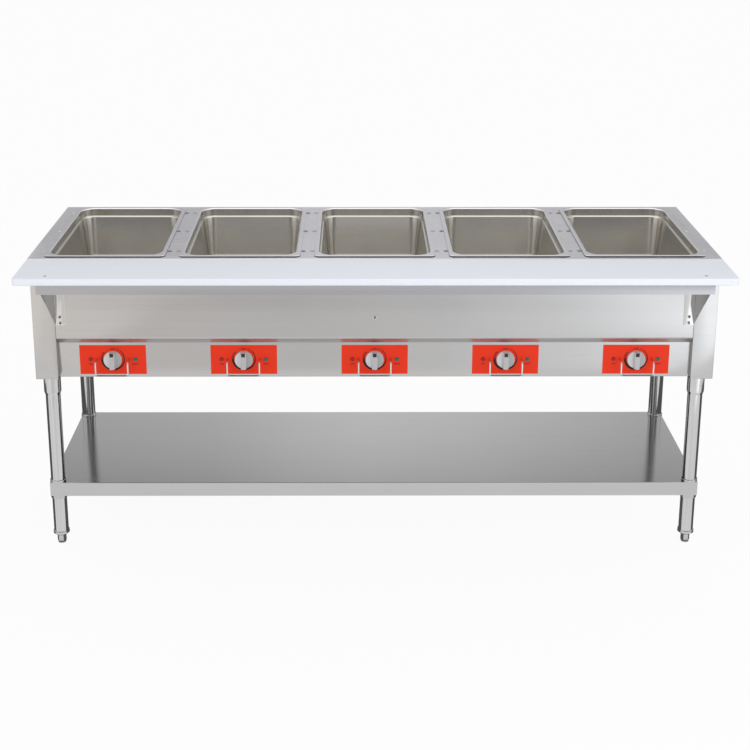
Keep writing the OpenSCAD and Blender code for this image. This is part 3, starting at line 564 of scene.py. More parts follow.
def new_piece(operator, name, **start):
    """A primitive as the start of a piece, with its place moved into its mesh."""
    deselect()
    operator(**start)
    piece = named(bpy.context.object, name)
    bpy.ops.object.transform_apply(location=True, rotation=True, scale=True)
    return piece


def smooth(piece, degrees=32):
    activate(piece)
    bpy.ops.object.shade_smooth_by_angle(angle=math.radians(degrees))
    return piece


def modify(piece, kind, **changes):
    """Adds a modifier and applies it."""
    activate(piece)
    modifier = piece.modifiers.new(kind.title(), kind)
    for key, value in changes.items():
        setattr(modifier, key, value)
    bpy.ops.object.modifier_apply(modifier=modifier.name)


def joined(pieces, name):
    """Several pieces as one."""
    deselect()
    for piece in pieces:
        piece.select_set(True)
    bpy.context.view_layer.objects.active = pieces[0]
    bpy.ops.object.join()
    return named(pieces[0], name)


def copied(piece, name, move=(0, 0, 0)):
    """A copy with its own mesh, moved in its mesh."""
    twin = bpy.data.objects.new(name, piece.data.copy())
    twin.data.name = name
    twin.data.transform(Matrix.Translation(move))
    bpy.context.scene.collection.objects.link(twin)
    return twin


def repeated(first, stem, node, keys=WELLS):
    """Each key with its piece: the first as it is, then copies of it at the other keys' nodes."""
    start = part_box(f"{node}_{keys[0]}")[0]
    yield keys[0], first
    for key in keys[1:]:
        yield key, copied(first, f"{stem}_{key}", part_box(f"{node}_{key}")[0] - start)


def dress(piece, finishes, body, slot, *replaced):
    """Gives a new piece its finish or finishes, its body and the nodes that it stands for."""
    kept = [face.material_index for face in piece.data.polygons]
    piece.data.materials.clear()
    for finish in finishes if isinstance(finishes, tuple) else (finishes,):
        piece.data.materials.append(finish)
    piece.data.polygons.foreach_set("material_index", kept)
    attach(piece, body)
    if replaced:
        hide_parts(*replaced)
    return piece


def paint(material, *names):
    """Gives the frame's own nodes a finish."""
    for name in names:
        for slot in nodes[name].material_slots:
            slot.material = material


def halfway(low, high, *axes):
    """Middle of a box along the given axes."""
    return [(low[axis] + high[axis]) / 2 for axis in axes]


def sheet_copy(node, name):
    """The node's own shape as a new piece, with its triangles joined into flat faces."""
    piece = copied(nodes[node], name)
    activate(piece)
    bpy.ops.mesh.customdata_custom_splitnormals_clear()
    edit(piece)
    bpy.ops.mesh.remove_doubles(threshold=NEAR / 2)
    bpy.ops.mesh.dissolve_limited(angle_limit=FLATNESS)
    leave()
    return piece


def on_planes(*planes):
    """A test for edges that lie on all the given planes, each an axis and a place along it."""

    def test(edge):
        return all(abs(v.co[axis] - place) < NEAR for v in edge.verts for axis, place in planes)

    return test


def top_edges(low, high):
    """The four upper edges of a box, as pairs of planes."""
    return [((2, high.z), (axis, end[axis])) for axis in (0, 1) for end in (low, high)]


def fold(piece, radius, *lines, segments=4):
    """Rounds the edges that lie where two planes meet, as a folded sheet is."""
    tests = [on_planes(*line) for line in lines]
    edit(piece)
    pick(piece, "edges", lambda edge: any(test(edge) for test in tests))
    bevel(radius, segments)
    leave()
    return smooth(piece)


def folded_sheet(node, name, finishes, slot, *lines):
    """A sheet of the body or counter with round folds, in the place of its node."""
    piece = fold(sheet_copy(node, name), sizes().fold, *lines)
    return dress(piece, finishes, "table", slot, node)


def arc(centre, radius, first, last, steps=6):
    """Points of an arc in a section, from one angle to another, in radians."""
    x, y = centre
    turns = [first + (last - first) / steps * k for k in range(steps + 1)]
    return [(x + radius * math.cos(turn), y + radius * math.sin(turn)) for turn in turns]


def section_line(name, points):
    """A line of edges, drawn by extruding one vertex along the points."""
    piece = new_piece(bpy.ops.mesh.primitive_plane_add, name, size=0.01)
    edit(piece)
    bpy.ops.mesh.merge(type="CENTER")
    bpy.ops.transform.translate(value=points[0])
    for start, end in zip(points, points[1:]):
        extrude(Vector(end) - Vector(start))
    leave()
    return piece


def spin(centre, steps, turn):
    """Spins what is selected round an upright axis and closes its seams, in edit mode."""
    bpy.ops.mesh.spin(steps=steps, angle=-turn, center=(*centre, 0), axis=(0, 0, 1))
    weld()


def quarter_wall(name, section, centre):
    """A section spun round one corner and drawn out, bottom too, to the two middle planes of a tray."""
    x, y = centre
    piece = section_line(name, [(x + out, y, height) for out, height in section])
    edit(piece)
    spin(centre, steps=16, turn=QUARTER)
    for plane, move in (((1, y), (0, -y, 0)), ((0, x), (-x, 0, 0))):
        test = on_planes(plane)
        pick(piece, "edges", lambda edge: test(edge) and len(edge.link_faces) == 1)
        extrude(move)
    leave()
    return piece


def pan_section(depth):
    """Inside of a pan in section, from its rim to the middle of its corner's bottom."""
    s = sizes()
    lean, bend, ledge = s.pan_lean, s.pan_rim_bend, s.pan_ledge_bend
    normal = Vector((math.cos(-lean), math.sin(-lean)))
    foot_out = s.pan_corner - ledge - s.pan_ledge_flat
    foot = Vector((foot_out, -s.pan_ledge - ledge - s.pan_ledge_foot))
    low = s.pan_sheet + s.pan_bottom - depth
    reach = (foot.dot(normal) - s.pan_ledge_foot - s.pan_bottom - low * normal.y) / normal.x
    points = arc((s.pan_corner + bend, -bend), bend, QUARTER, 2 * QUARTER)
    points += arc((s.pan_corner - ledge, -s.pan_ledge), ledge, 0, -QUARTER, steps=4)
    points += arc(foot, s.pan_ledge_foot, QUARTER, 2 * QUARTER - lean, steps=4)
    points += arc((reach, low), s.pan_bottom, -lean, -QUARTER)
    return points + [(0, s.pan_sheet - depth)]


def drawn_pan(name, low, high):
    """One pan in its place: corner spun, sides drawn out, mirrored twice and given its thickness."""
    s = sizes()
    half = (high - low) / 2
    corner = s.pan_rim + s.pan_corner
    wall = quarter_wall("wall", pan_section(high.z - low.z), (half.x - corner, half.y - corner))
    roll = arc((s.pan_rim_corner - s.pan_roll, -s.pan_roll), s.pan_roll, QUARTER, -QUARTER, steps=8)
    rim = quarter_wall("rim", roll, (half.x - s.pan_rim_corner, half.y - s.pan_rim_corner))
    piece = joined([wall, rim], name)
    edit(piece)
    level = on_planes((2, 0.0))
    pick(piece, "edges", lambda edge: level(edge) and len(edge.link_faces) == 1)
    bpy.ops.mesh.bridge_edge_loops()
    weld()
    leave()
    modify(piece, "MIRROR", use_axis=(True, True, False), merge_threshold=NEAR)
    edit(piece)
    face_outwards()
    leave()
    floor = min(piece.data.polygons, key=lambda face: face.center.z)
    if floor.normal.z < 0:
        edit(piece)
        bpy.ops.mesh.flip_normals()
        leave()
    modify(piece, "SOLIDIFY", thickness=s.pan_sheet, offset=-1)
    piece.data.transform(Matrix.Translation((*halfway(low, high, 0, 1), high.z)))
    return smooth(piece, degrees=40)


def shelf_top():
    """Height of the shelf's upper face, the first level of its mesh over the stiffeners."""
    levels = {round(v.co.z, 5) for v in nodes["undershelf"].data.vertices}
    return min(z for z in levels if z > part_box("shelf_stiffeners")[1].z + NEAR)


def outer_inner(low, high, end):
    """Sides of a box away from and towards the middle of the table, at its left end 0 or right end 1."""
    return (low.x, high.x) if end == 0 else (high.x, low.x)


class FOODTABLE_OT_folded_sheets(bpy.types.Operator):
    """Counter, panels, brackets and shelf as folded sheets with round bends"""

    bl_idname = "food_table.folded_sheets"
    bl_label = "Folded sheets"

    def execute(self, context):
        c = colours()
        level = (6, 6, 2300)
        panel = brushed_steel("panel_sheet", c.panel, level, rough=0.16)
        sloping = brushed_steel("sloping_sheet", c.panel, level, rough=0.34)
        # The board support's darker sheet is painted shade under the cutting board.
        strip = brushed_steel("strip_sheet", c.strip, level, rough=0.22)
        # The brackets' flanges take a brighter sheet as painted light and their webs a darker one as
        # painted shade.
        lit_copy = brushed_steel("bracket_sheet", c.bracket, level, rough=0.11)
        shaded = brushed_steel("bracket_web", c.web, level, rough=0.2)
        # Dark finish for painted shadow lines in gaps.
        cut = plain_metal("cut_edges", c.cut, rough=0.5)

        edges = top_edges(COUNTER_LOW, COUNTER_HIGH)
        folded_sheet("countertop", "counter_sheet", satin_counter("counter_sheet"), "counter_steel", *edges)

        front = (1, PANEL_LOW.y)
        slope = PANEL_LOW.z + CONTROL_LOW.y - PANEL_LOW.y
        lines = [(front, (2, height)) for height in (slope, PANEL_HIGH.z)]
        piece = folded_sheet("front_panel", "upper_front_sheet", (panel, sloping), "body_steel", *lines)
        for face in piece.data.polygons:
            face.material_index = int(max(face.normal.y, face.normal.z) < -SLOPING)

        line = ((1, CONTROL_LOW.y), (2, CONTROL_LOW.z))
        folded_sheet("control_panel", "control_sheet", panel, "body_steel", line)
        low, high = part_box("board_support")
        line = ((1, low.y), (2, high.z))
        folded_sheet("board_support", "board_support_sheet", strip, "body_steel", line)
        for side, end in (("left", 0), ("right", 1)):
            self.end_panel(f"end_panel_{side}", f"end_sheet_{side}", end, (panel, shaded))
            self.bracket(f"board_gusset_{side}", f"bracket_{side}", end, (lit_copy, cut, shaded))

        shelf = brushed_steel("shelf_sheet", c.shelf, (5, 1700, 1700), rough=0.11, depth=0.00016)
        self.shelf(shelf)
        paint(shelf, "shelf_stiffeners")
        paint(panel, "rear_panel")
        # The bottom's dark sheet is partly painted shade under the body.
        paint(plain_metal("bottom_sheet", c.under, rough=0.42), "bottom_panel")
        return {"FINISHED"}

    def end_panel(self, node, name, end, finishes):
        """An end panel with its corner column, whose return takes the darker web sheet as painted shade."""
        low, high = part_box(node)
        outer, inner = outer_inner(low, high, end)
        front, bottom = (1, low.y), (2, low.z)
        lines = [((0, x), front) for x in (outer, inner)]
        lines += [((0, outer), (1, high.y)), ((0, outer), bottom), (front, bottom)]
        piece = folded_sheet(node, name, finishes, "body_steel", *lines)
        # Faces of the column's return: painted shade.
        for face in piece.data.polygons:
            at_return = abs(face.center.x - inner) < sizes().sheet
            face.material_index = int(abs(face.normal.x) > SIDEWAYS and at_return)

    def bracket(self, node, name, end, finishes):
        """A bracket of the board: its flange is in a brighter sheet as painted light, with a dark painted
        shadow line on the chamfer of its free edge, and its web is in painted shade.
        """
        sheet = sizes().sheet
        low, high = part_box(node)
        outer, inner = outer_inner(low, high, end)
        web = outer + math.copysign(sheet, inner - outer)
        flange = (1, high.y - sheet)
        chamfer = 0.9 * sheet
        piece = fold(sheet_copy(node, name), chamfer, ((0, inner), flange), segments=1)
        fold(piece, sizes().fold / 2, ((0, web), flange))
        # Chamfer at the flange's free edge: dark painted shadow line; other sideways faces of the web:
        # painted shade.
        for face in piece.data.polygons:
            if abs(face.normal.x) > SIDEWAYS:
                face.material_index = 1 if abs(face.center.x - inner) < sheet else 2
        dress(piece, finishes, "table", "body_steel", node)

    def shelf(self, finish):
        """The undershelf, rounded along its four turned-down edges between the legs."""
        piece = sheet_copy("undershelf", "shelf_sheet")
        top = shelf_top()
        front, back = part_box("leg_front_left")[0].y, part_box("leg_rear_left")[1].y
        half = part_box("leg_front_right")[1].x
        loose, shortest = 0.0004, 0.1

        def rim(edge):
            spots = [v.co for v in edge.verts]
            if any(abs(spot.z - top) > NEAR for spot in spots):
                return False
            lines = [[spot.y - place for spot in spots] for place in (front, back)]
            lines.append([abs(spot.x) - half for spot in spots])
            on_line = any(all(abs(off) < loose for off in line) for line in lines)
            return on_line and edge.calc_length() > shortest

        edit(piece)
        pick(piece, "edges", rim)
        bevel(sizes().fold, segments=4)
        leave()
        dress(smooth(piece), finish, "table", "shelf_steel", "undershelf")


class FOODTABLE_OT_drawn_pans(bpy.types.Operator):
    """Five deep pans with rolled rims, stacking ledges and leaning walls"""

    bl_idname = "food_table.drawn_pans"
    bl_label = "Drawn pans"

    def execute(self, context):
        wall = drawn_steel("pan_sheet", colours().pan)
        # The rims take the counter's brighter sheet as painted light and the walls the darker drawn sheet.
        rim = satin_counter("pan_rim")
        # Dark finish for the painted shadow line under the front and back of each rim.
        edge = plain_metal("pan_edge", colours().cut, rough=0.5)
        low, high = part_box("pan_1")
        pan = drawn_pan("drawn_pan_1", low, high)
        roll, bend = sizes().pan_roll, sizes().pan_rim_bend
        # Lower half of the rim's roll at the front and back: dark painted shadow line under the rim.
        for face in pan.data.polygons:
            _, y, z = face.center
            at_edge = min(y - low.y, high.y - y) < 2 * roll
            if at_edge and z < high.z - roll:
                face.material_index = 2
            elif z < high.z - bend / 2:
                face.material_index = 1
        for k, piece in repeated(pan, "drawn_pan", "pan"):
            dress(piece, (rim, wall, edge), f"pan_{k}", "pan_steel", f"pan_{k}")
        return {"FINISHED"}


class FOODTABLE_OT_wells(bpy.types.Operator):
    """Finishes of the well liners, heating elements, insulation and heat controls"""

    bl_idname = "food_table.wells"
    bl_label = "Wells and elements"

    def execute(self, context):
        c = colours()
        liner = brushed_steel("well_sheet", c.well, (900, 900, 14), rough=0.32, spread=0.08)
        sheath = dark_sheath("element_sheath", c.element)
        housing = moulded_plastic("control_housing", c.black, rough=0.5)
        for k in WELLS:
            paint(liner, f"well_{k}")
            paint(sheath, f"heating_element_{k}")
            paint(housing, f"control_switch_{k}")
        paint(mineral_wool("insulation_wool", c.wool), "insulation")
        return {"FINISHED"}


class FOODTABLE_OT_cutting_board(bpy.types.Operator):
    """Cutting board with rounded edges, and the heads of its pins"""

    bl_idname = "food_table.cutting_board"
    bl_label = "Cutting board"

    def execute(self, context):
        low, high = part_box("cutting_board")
        slab = sheet_copy("cutting_board", "board_slab")
        fold(slab, sizes().board_round, *top_edges(low, high), segments=5)
        plastic = board_plastic("board_plastic", colours().board)
        dress(slab, plastic, "cutting_board", "board_poly", "cutting_board")
        # Pins and the heads over them take a dark finish as painted shade in the board's holes.
        metal = plain_metal("pin_metal", colours().pin)
        paint(metal, "board_pins")
        low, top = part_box("board_pins")
        radius, gap = (top.y - low.y) / 2, 10 * NEAR
        rounding = radius / 8
        head = new_piece(
            bpy.ops.mesh.primitive_cylinder_add, "pin_head_left", vertices=48, radius=radius,
            depth=high.z - top.z - gap,
            location=(low.x + radius, low.y + radius, (high.z + top.z - gap) / 2),
        )
        fold(head, rounding, ((2, high.z - gap),), segments=3)
        move = (top.x - low.x - 2 * radius, 0, 0)
        for piece in (head, copied(head, "pin_head_right", move)):
            dress(piece, metal, "table", "fasteners")
        return {"FINISHED"}


def printed_words(text, x, z):
    """Flat letters that face the front, as a mesh in their place on a label plate."""
    ink = sizes().ink
    deselect()
    bpy.ops.object.text_add()
    words = bpy.context.object.data
    words.body = text
    words.size = sizes().letters * FONT_SIZE
    words.align_x = "CENTER"
    words.align_y = "CENTER"
    words.extrude = ink / 2
    words.resolution_u = 3
    bpy.ops.object.convert(target="MESH")
    piece = bpy.context.object
    piece.rotation_euler = TO_FRONT
    piece.location = (x, LABEL_FACE - ink / 2, z)
    bpy.ops.object.transform_apply(location=True, rotation=True, scale=True)
    return piece


def heat_scale(x, z):
    """Crescent that widens clockwise, between two circles that don't share a middle."""
    s = sizes()
    aside = s.scale_shift * math.cos(SCALE_THINNEST)
    up = s.scale_shift * math.sin(SCALE_THINNEST)
    circles = [
        new_piece(
            bpy.ops.mesh.primitive_circle_add, name, vertices=96, radius=radius, location=place,
            rotation=TO_FRONT,
        )
        for name, radius, place in (
            ("outer", s.scale_outer, (x, LABEL_FACE, z)),
            ("inner", s.scale_inner, (x + aside, LABEL_FACE, z + up)),
        )
    ]
    piece = joined(circles, "scale")

    def gap(part):
        middle = part.calc_center_median()
        return math.atan2(middle.z - z, middle.x - x) > SCALE_START

    edit(piece)
    bpy.ops.mesh.bridge_edge_loops()
    pick(piece, "faces", gap)
    bpy.ops.mesh.delete(type="FACE")
    pick_all()
    extrude((0, -s.ink, 0))
    face_outwards()
    leave()
    return piece


def heat_ticks(x, z):
    """Short dashes that carry the scale on, each smaller than the last."""
    s = sizes()
    ticks = []
    middle = (s.scale_outer + s.scale_inner) / 2
    for degrees, long in TICKS:
        turn = math.radians(degrees)
        place = (x + middle * math.cos(turn), LABEL_FACE - s.ink / 2, z + middle * math.sin(turn))
        tick = new_piece(
            bpy.ops.mesh.primitive_cube_add, "tick", size=1, location=place, rotation=(0, -turn, 0),
            scale=(long, s.ink, TICK_WIDTH),
        )
        ticks.append(tick)
    return ticks


class FOODTABLE_OT_labels(bpy.types.Operator):
    """Red label plates with their printed heat scales and letters"""

    bl_idname = "food_table.labels"
    bl_label = "Label plates"

    def execute(self, context):
        paint(printed_plate("label_print", colours().label), "label_plates")
        ink = printed_plate("scale_ink", colours().ink)
        x, z = halfway(*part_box("knob_1"), 0, 2)
        low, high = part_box("red_lamps")
        lamp = low.x - x + (high.z - low.z) / 2
        words = (
            ("OFF", 0, OFF_UP),
            ("HI", HIGH_ASIDE, HIGH_UP),
            ("ON", lamp, LAMP_WORD_UP),
            ("HEAT", -lamp, LAMP_WORD_UP),
        )
        parts = [heat_scale(x, z), *heat_ticks(x, z)]
        parts += [printed_words(text, x + aside, z + up) for text, aside, up in words]
        for _, piece in repeated(joined(parts, "scale_print_1"), "scale_print", "knob"):
            dress(piece, ink, "table", "label_red")
        return {"FINISHED"}


def faces_front(part):
    return part.normal.y < -FACING


def turned_knob(name, low, high):
    """Knob with a round skirt, a grip raised from a strip of its face, and its spindle."""
    s = sizes()
    x, z = halfway(low, high, 0, 2)
    radius = (high.z - low.z) / 2
    face = low.y + s.grip_height
    grip_round = 1.3 * s.knob_round
    piece = new_piece(
        bpy.ops.mesh.primitive_cylinder_add, name, vertices=96, radius=radius, depth=s.knob_skirt,
        location=(x, face + s.knob_skirt / 2, z), rotation=TO_FRONT,
    )
    shoulder = on_planes((1, face))

    def strip(part):
        return faces_front(part) and abs(part.calc_center_median().x - x) < s.grip_lean

    def skirt_edge(part):
        out = min(math.hypot(v.co.x - x, v.co.z - z) for v in part.verts)
        aside = max(abs(v.co.x - x) for v in part.verts)
        return shoulder(part) and out > radius - NEAR and aside > s.grip_width / 2 + NEAR

    edit(piece)
    for side in (-1, 1):
        pick(piece, "faces", faces_front)
        bpy.ops.mesh.bisect(plane_co=(x + side * s.grip_width / 2, 0, 0), plane_no=(1, 0, 0))
    pick(piece, "faces", strip)
    extrude((0, -s.grip_height, 0))
    narrow = (1 - 2 * s.grip_lean / s.grip_width, 1, 1 - s.grip_lean / radius)
    bpy.ops.transform.resize(value=narrow, center_override=(x, low.y, z))
    pick(piece, "edges", on_planes((1, low.y)))
    bevel(grip_round, segments=4)
    pick(piece, "edges", skirt_edge)
    bevel(s.knob_round, segments=3)
    pick(piece, "faces", lambda part: part.normal.y > FACING)
    bpy.ops.mesh.inset(thickness=radius - s.spindle)
    extrude((0, high.y - (face + s.knob_skirt), 0))
    leave()
    return smooth(piece, degrees=35)


def grip_mark(name, low, high):
    """Dark inlaid mark near the top of a knob's grip, with a shallow hollow in its middle."""
    s = sizes()
    x, z = halfway(low, high, 0, 2)
    piece = new_piece(
        bpy.ops.mesh.primitive_cube_add, name, size=1, location=(x, low.y, z + s.mark_rise),
        scale=(s.mark, MARK_SHEET, s.mark),
    )
    edit(piece)
    bevel(MARK_ROUND, segments=2)
    pick(piece, "faces", faces_front)
    bpy.ops.mesh.inset(thickness=s.mark * MARK_BORDER)
    extrude((0, MARK_HOLLOW, 0))
    leave()
    return smooth(piece)


class FOODTABLE_OT_knobs(bpy.types.Operator):
    """Five silver knobs, each with a dark mark on its grip"""

    bl_idname = "food_table.knobs"
    bl_label = "Knobs"

    def execute(self, context):
        c = colours()
        # The grip's colour and knob_shade are darker copies of the silver: painted shade.
        silvers = tuple(
            moulded_plastic(name, scaled(c.knob, share), rough=0.4, metallic=0.2)
            for name, share in (("knob_silver", 1), ("knob_grip", 0.72), ("knob_shade", 0.61))
        )
        dark = moulded_plastic("mark_dark", c.mark, rough=0.42)
        low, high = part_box("knob_1")
        middle = (low.x + high.x) / 2
        half = sizes().grip_width / 2
        knob = turned_knob("turned_knob_1", low, high)
        # Painted shade: the grip's front face and the face of the skirt right of the grip take darker
        # copies of the silver, as for light from the left.
        for face in knob.data.polygons:
            aside = face.center.x - middle
            if faces_front(face) and aside > -half:
                face.material_index = 1 if aside < half else 2
        mark = grip_mark("knob_mark_1", low, high)
        knobs = repeated(knob, "turned_knob", "knob")
        marks = repeated(mark, "knob_mark", "knob")
        for (k, knob), (_, mark) in zip(knobs, marks):
            dress(knob, silvers, f"knob_{k}", "knob_silver", f"knob_{k}")
            dress(mark, dark, f"knob_{k}", "knob_silver")
        return {"FINISHED"}


class FOODTABLE_OT_lamps(bpy.types.Operator):
    """Finishes of the lamps, and the wire guards with their lugs and lower bars"""

    bl_idname = "food_table.lamps"
    bl_label = "Lamps and guards"

    def execute(self, context):
        c = colours()
        paint(lens_plastic("red_lens", c.red_lens, glow=0.0), "red_lamps")
        paint(lens_plastic("green_lens", c.green_lens, glow=0.15), "green_lamps")
        wire = polished_tube("guard_wire", c.wire, rough=0.12)
        # The lugs take the label's red as a painted reflection of the plate in the wire's bends.
        lug_red_reflection = printed_plate("guard_lugs", c.label)
        # The lower bars take a darker copy of the wire as painted shade.
        bar = polished_tube("guard_bars", c.bar, rough=0.2)
        bottom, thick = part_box("knob_guards")[0].z, sizes().guard
        piece = smooth(sheet_copy("knob_guards", "guard_wires"))
        for face in piece.data.polygons:
            # Faces at the plate: painted reflection of the red label plate.
            if face.center.y > LABEL_FACE - thick / 2:
                face.material_index = 1
            # Faces of the lower bar: painted shade.
            elif face.center.z < bottom + thick:
                face.material_index = 2
        dress(piece, (wire, lug_red_reflection, bar), "table", "guard_wire", "knob_guards")
        return {"FINISHED"}


def crossed_screw(name, spot, radius, height):
    """Domed screw head with a cross recess, facing the front."""
    recess = sizes().recess
    x, y, z = spot
    arm, reach = radius * CROSS_ARM, radius * CROSS_REACH
    front = y - height
    piece = new_piece(
        bpy.ops.mesh.primitive_cylinder_add, name, vertices=48, radius=radius, depth=height,
        location=(x, y - height / 2, z), rotation=TO_FRONT,
    )

    def flat_face(part):
        return part.normal.y < -FLAT_FACING

    def cross(part):
        where = part.calc_center_median()
        across, up = abs(where.x - x), abs(where.z - z)
        return flat_face(part) and min(across, up) < arm and max(across, up) < reach

    edit(piece)
    pick(piece, "edges", on_planes((1, front)))
    bevel(height * DOME, segments=5)
    for way, middle in ((Vector((1, 0, 0)), x), (Vector((0, 0, 1)), z)):
        for place in (-reach, -arm, arm, reach):
            pick(piece, "faces", flat_face)
            bpy.ops.mesh.bisect(plane_co=way * (middle + place), plane_no=way)
    pick(piece, "faces", cross)
    extrude((0, recess, 0))
    leave()
    # The cross recess takes the dark finish as painted shade in the hollow.
    for face in piece.data.polygons:
        out = math.hypot(face.center.x - x, face.center.z - z)
        face.material_index = int(out < reach and face.center.y > front + recess / 3)
    return smooth(piece, degrees=30)


def loose_boxes(node):
    """Lowest and highest corner of each separate solid of a node."""
    activate(sheet_copy(node, "loose"))
    bpy.ops.mesh.separate(type="LOOSE")
    boxes = []
    for part in list(bpy.context.selected_objects):
        ways = list(zip(*(v.co for v in part.data.vertices)))
        boxes.append((Vector([min(way) for way in ways]), Vector([max(way) for way in ways])))
        bpy.data.objects.remove(part)
    return boxes


class FOODTABLE_OT_fasteners(bpy.types.Operator):
    """Rivets in the counter and cross-recessed screws on the front"""

    bl_idname = "food_table.fasteners"
    bl_label = "Rivets and screws"

    def execute(self, context):
        c = colours()
        # Three tones of one rivet: full painted shade, the counter's lit tone, and half painted shade.
        full_shade = plain_metal("rivet_metal", c.rivet, rough=0.4)
        lit_copy = plain_metal("rivet_bright", c.counter, rough=0.3)
        faint = plain_metal("rivet_faint", scaled(c.counter, 0.6), rough=0.35)
        rivets = sheet_copy("rivets", "rivet_heads")
        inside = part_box("pan_1")[0].x
        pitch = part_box("pan_2")[0].x - inside
        # Painted shade by place: rivets on the outer strips keep the counter's tone, the inner rivet of
        # each pair takes half the painted shade and the outer one the full painted shade.
        for face in rivets.data.polygons:
            out = abs(face.center.x)
            inner = out % pitch < pitch / 2
            face.material_index = 1 if out > abs(inside) else 2 * inner
        dress(rivets, (full_shade, lit_copy, faint), "table", "fasteners", "rivets")

        metal = plain_metal("screw_metal", c.screw, rough=0.2)
        # Near-black finish: painted shade in the screws' cross recesses.
        dark = plain_metal("recess_metal", scaled(c.rivet, 0.2), rough=0.6)
        height = sizes().screw_head
        heads = []
        for k, (low, high) in enumerate(loose_boxes("screws")):
            x, z = halfway(low, high, 0, 2)
            head = crossed_screw(f"head_{k}", (x, low.y + height, z), (high.x - low.x) / 2, height)
            for finish in (metal, dark):
                head.data.materials.append(finish)
            heads.append(head)
        dress(joined(heads, "crossed_screws"), (metal, dark), "table", "fasteners", "screws")
        return {"FINISHED"}


def spun_ring(name, section, centre):
    """A ring from a closed section, given as distances from its upright axis and heights."""
    x, y = centre
    piece = section_line(name, [(x + out, y, height) for out, height in section + section[:1]])
    edit(piece)
    spin(centre, steps=64, turn=4 * QUARTER)
    face_outwards()
    leave()
    return smooth(piece, degrees=40)


def lip_section(bore, foot):
    """Section of a collar's lip, which opens a little at its top."""
    height = sizes().lip
    outline = (
        (0, 0), (0, 0.5), (0.0003, 0.8), (0.0008, 0.97), (0.0013, 1), (0.0021, 0.94), (0.0024, 0.82),
        (0.0022, 0.5), (0.0021, 0),
    )
    return [(bore + out, foot + height * share) for out, share in outline]


class FOODTABLE_OT_legs(bpy.types.Operator):
    """Lips of the shelf's collars, and finishes of the legs, sockets, plugs and feet"""

    bl_idname = "food_table.legs"
    bl_label = "Legs and feet"

    def execute(self, context):
        tube = polished_tube("leg_tube", colours().tube)
        foot = plain_metal("foot_metal", scaled(colours().foot, 0.85))
        paint(tube, "leg_sockets", *(f"leg_{k}" for k in LEGS))
        paint(foot, "foot_plugs", *(f"foot_{k}" for k in LEGS))
        low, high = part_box(f"leg_{LEGS[0]}")
        gap = 5 * NEAR
        bore = (high.x - low.x) / 2 + gap
        section = lip_section(bore, shelf_top())
        lip = spun_ring(f"collar_lip_{LEGS[0]}", section, halfway(low, high, 0, 1))
        for _, piece in repeated(lip, "collar_lip", "leg", LEGS):
            dress(piece, tube, "table", "leg_tube")
        return {"FINISHED"}


class FOODTABLE_OT_power_entry(bpy.types.Operator):
    """Finishes of the terminal block and the cable gland"""

    bl_idname = "food_table.power_entry"
    bl_label = "Power entry"

    def execute(self, context):
        c = colours()
        paint(moulded_plastic("terminal_plastic", c.cream, rough=0.5), "terminal_block")
        paint(moulded_plastic("gland_plastic", c.black, rough=0.45), "cable_gland")
        return {"FINISHED"}


def area_lamp(name, power, size, place, aim):
    """A soft square lamp that looks at a point and that metal doesn't mirror."""
    deselect()
    bpy.ops.object.light_add(type="AREA", location=place)
    lamp = bpy.context.object
    lamp.name = name
    lamp.data.shape = "SQUARE"
    lamp.data.size = size
    lamp.data.energy = power
    lamp.visible_glossy = False
    lamp.rotation_euler = (Vector(aim) - Vector(place)).to_track_quat("-Z", "Y").to_euler()


def white_to_eye(finish):
    """1 on rays that the camera, a mirror or glass sees, and 0 on rays that only carry light."""
    kinds = ("Camera", "Glossy", "Transmission")
    seen, *others = [finish.node("ShaderNodeLightPath", out=f"Is {kind} Ray") for kind in kinds]
    for other in others:
        seen = seen.math("MAXIMUM", seen, other)
    return seen


def studio_card(name, outline, brightness, across=None, upwards=None, tints=None):
    """A flat card that only mirroring surfaces show, shaded by stops across and upwards."""
    card = section_line(name, outline)
    edit(card)
    bpy.ops.mesh.edge_face_add()
    leave()
    finish = Finish(name)

    def along(axis, whole, shift):
        place = finish.place((1 / whole,) * 3, (shift, 0, 0))
        return finish.node("ShaderNodeSeparateXYZ", {}, {0: place}, out=axis)

    tone, shade = brightness, WHITE
    if across:
        tone = finish.ramp(along(0, card.dimensions.x, 0.5), across) * tone
    if upwards:
        tone = finish.ramp(along(2, CARD_HEIGHT, 0), upwards) * tone
    if tints:
        shade = finish.tint(along(0, card.dimensions.x, 0.5), *tints)
    finish.show(finish.node("ShaderNodeEmission", {}, {"Color": shade, "Strength": tone}))
    card.data.materials.append(finish.material)
    card.visible_camera = False
    card.visible_diffuse = False
    card.visible_shadow = False
    card.visible_transmission = False


def rectangle(half, low, high):
    """Corners of a card as wide to the left as to the right, between two edges given as y and z."""
    return [(-half, *low), (half, *low), (half, *high), (-half, *high)]


def floor_outline():
    """Outline of the dark card on the floor, a painted shadow of the table that only mirrors show, which
    lies under, beside and behind the table.
    """
    far, slant, lift = 1.25, 0.3, 0.002
    front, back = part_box("leg_front_left")[0].y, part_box("leg_rear_left")[0].y
    half = COUNTER_HIGH.x
    right = [(half + far, back + far), (half + far, front - slant), (half, front)]
    left = [(-x, y) for x, y in reversed(right)]
    return [(x, y, lift) for x, y in left + right]


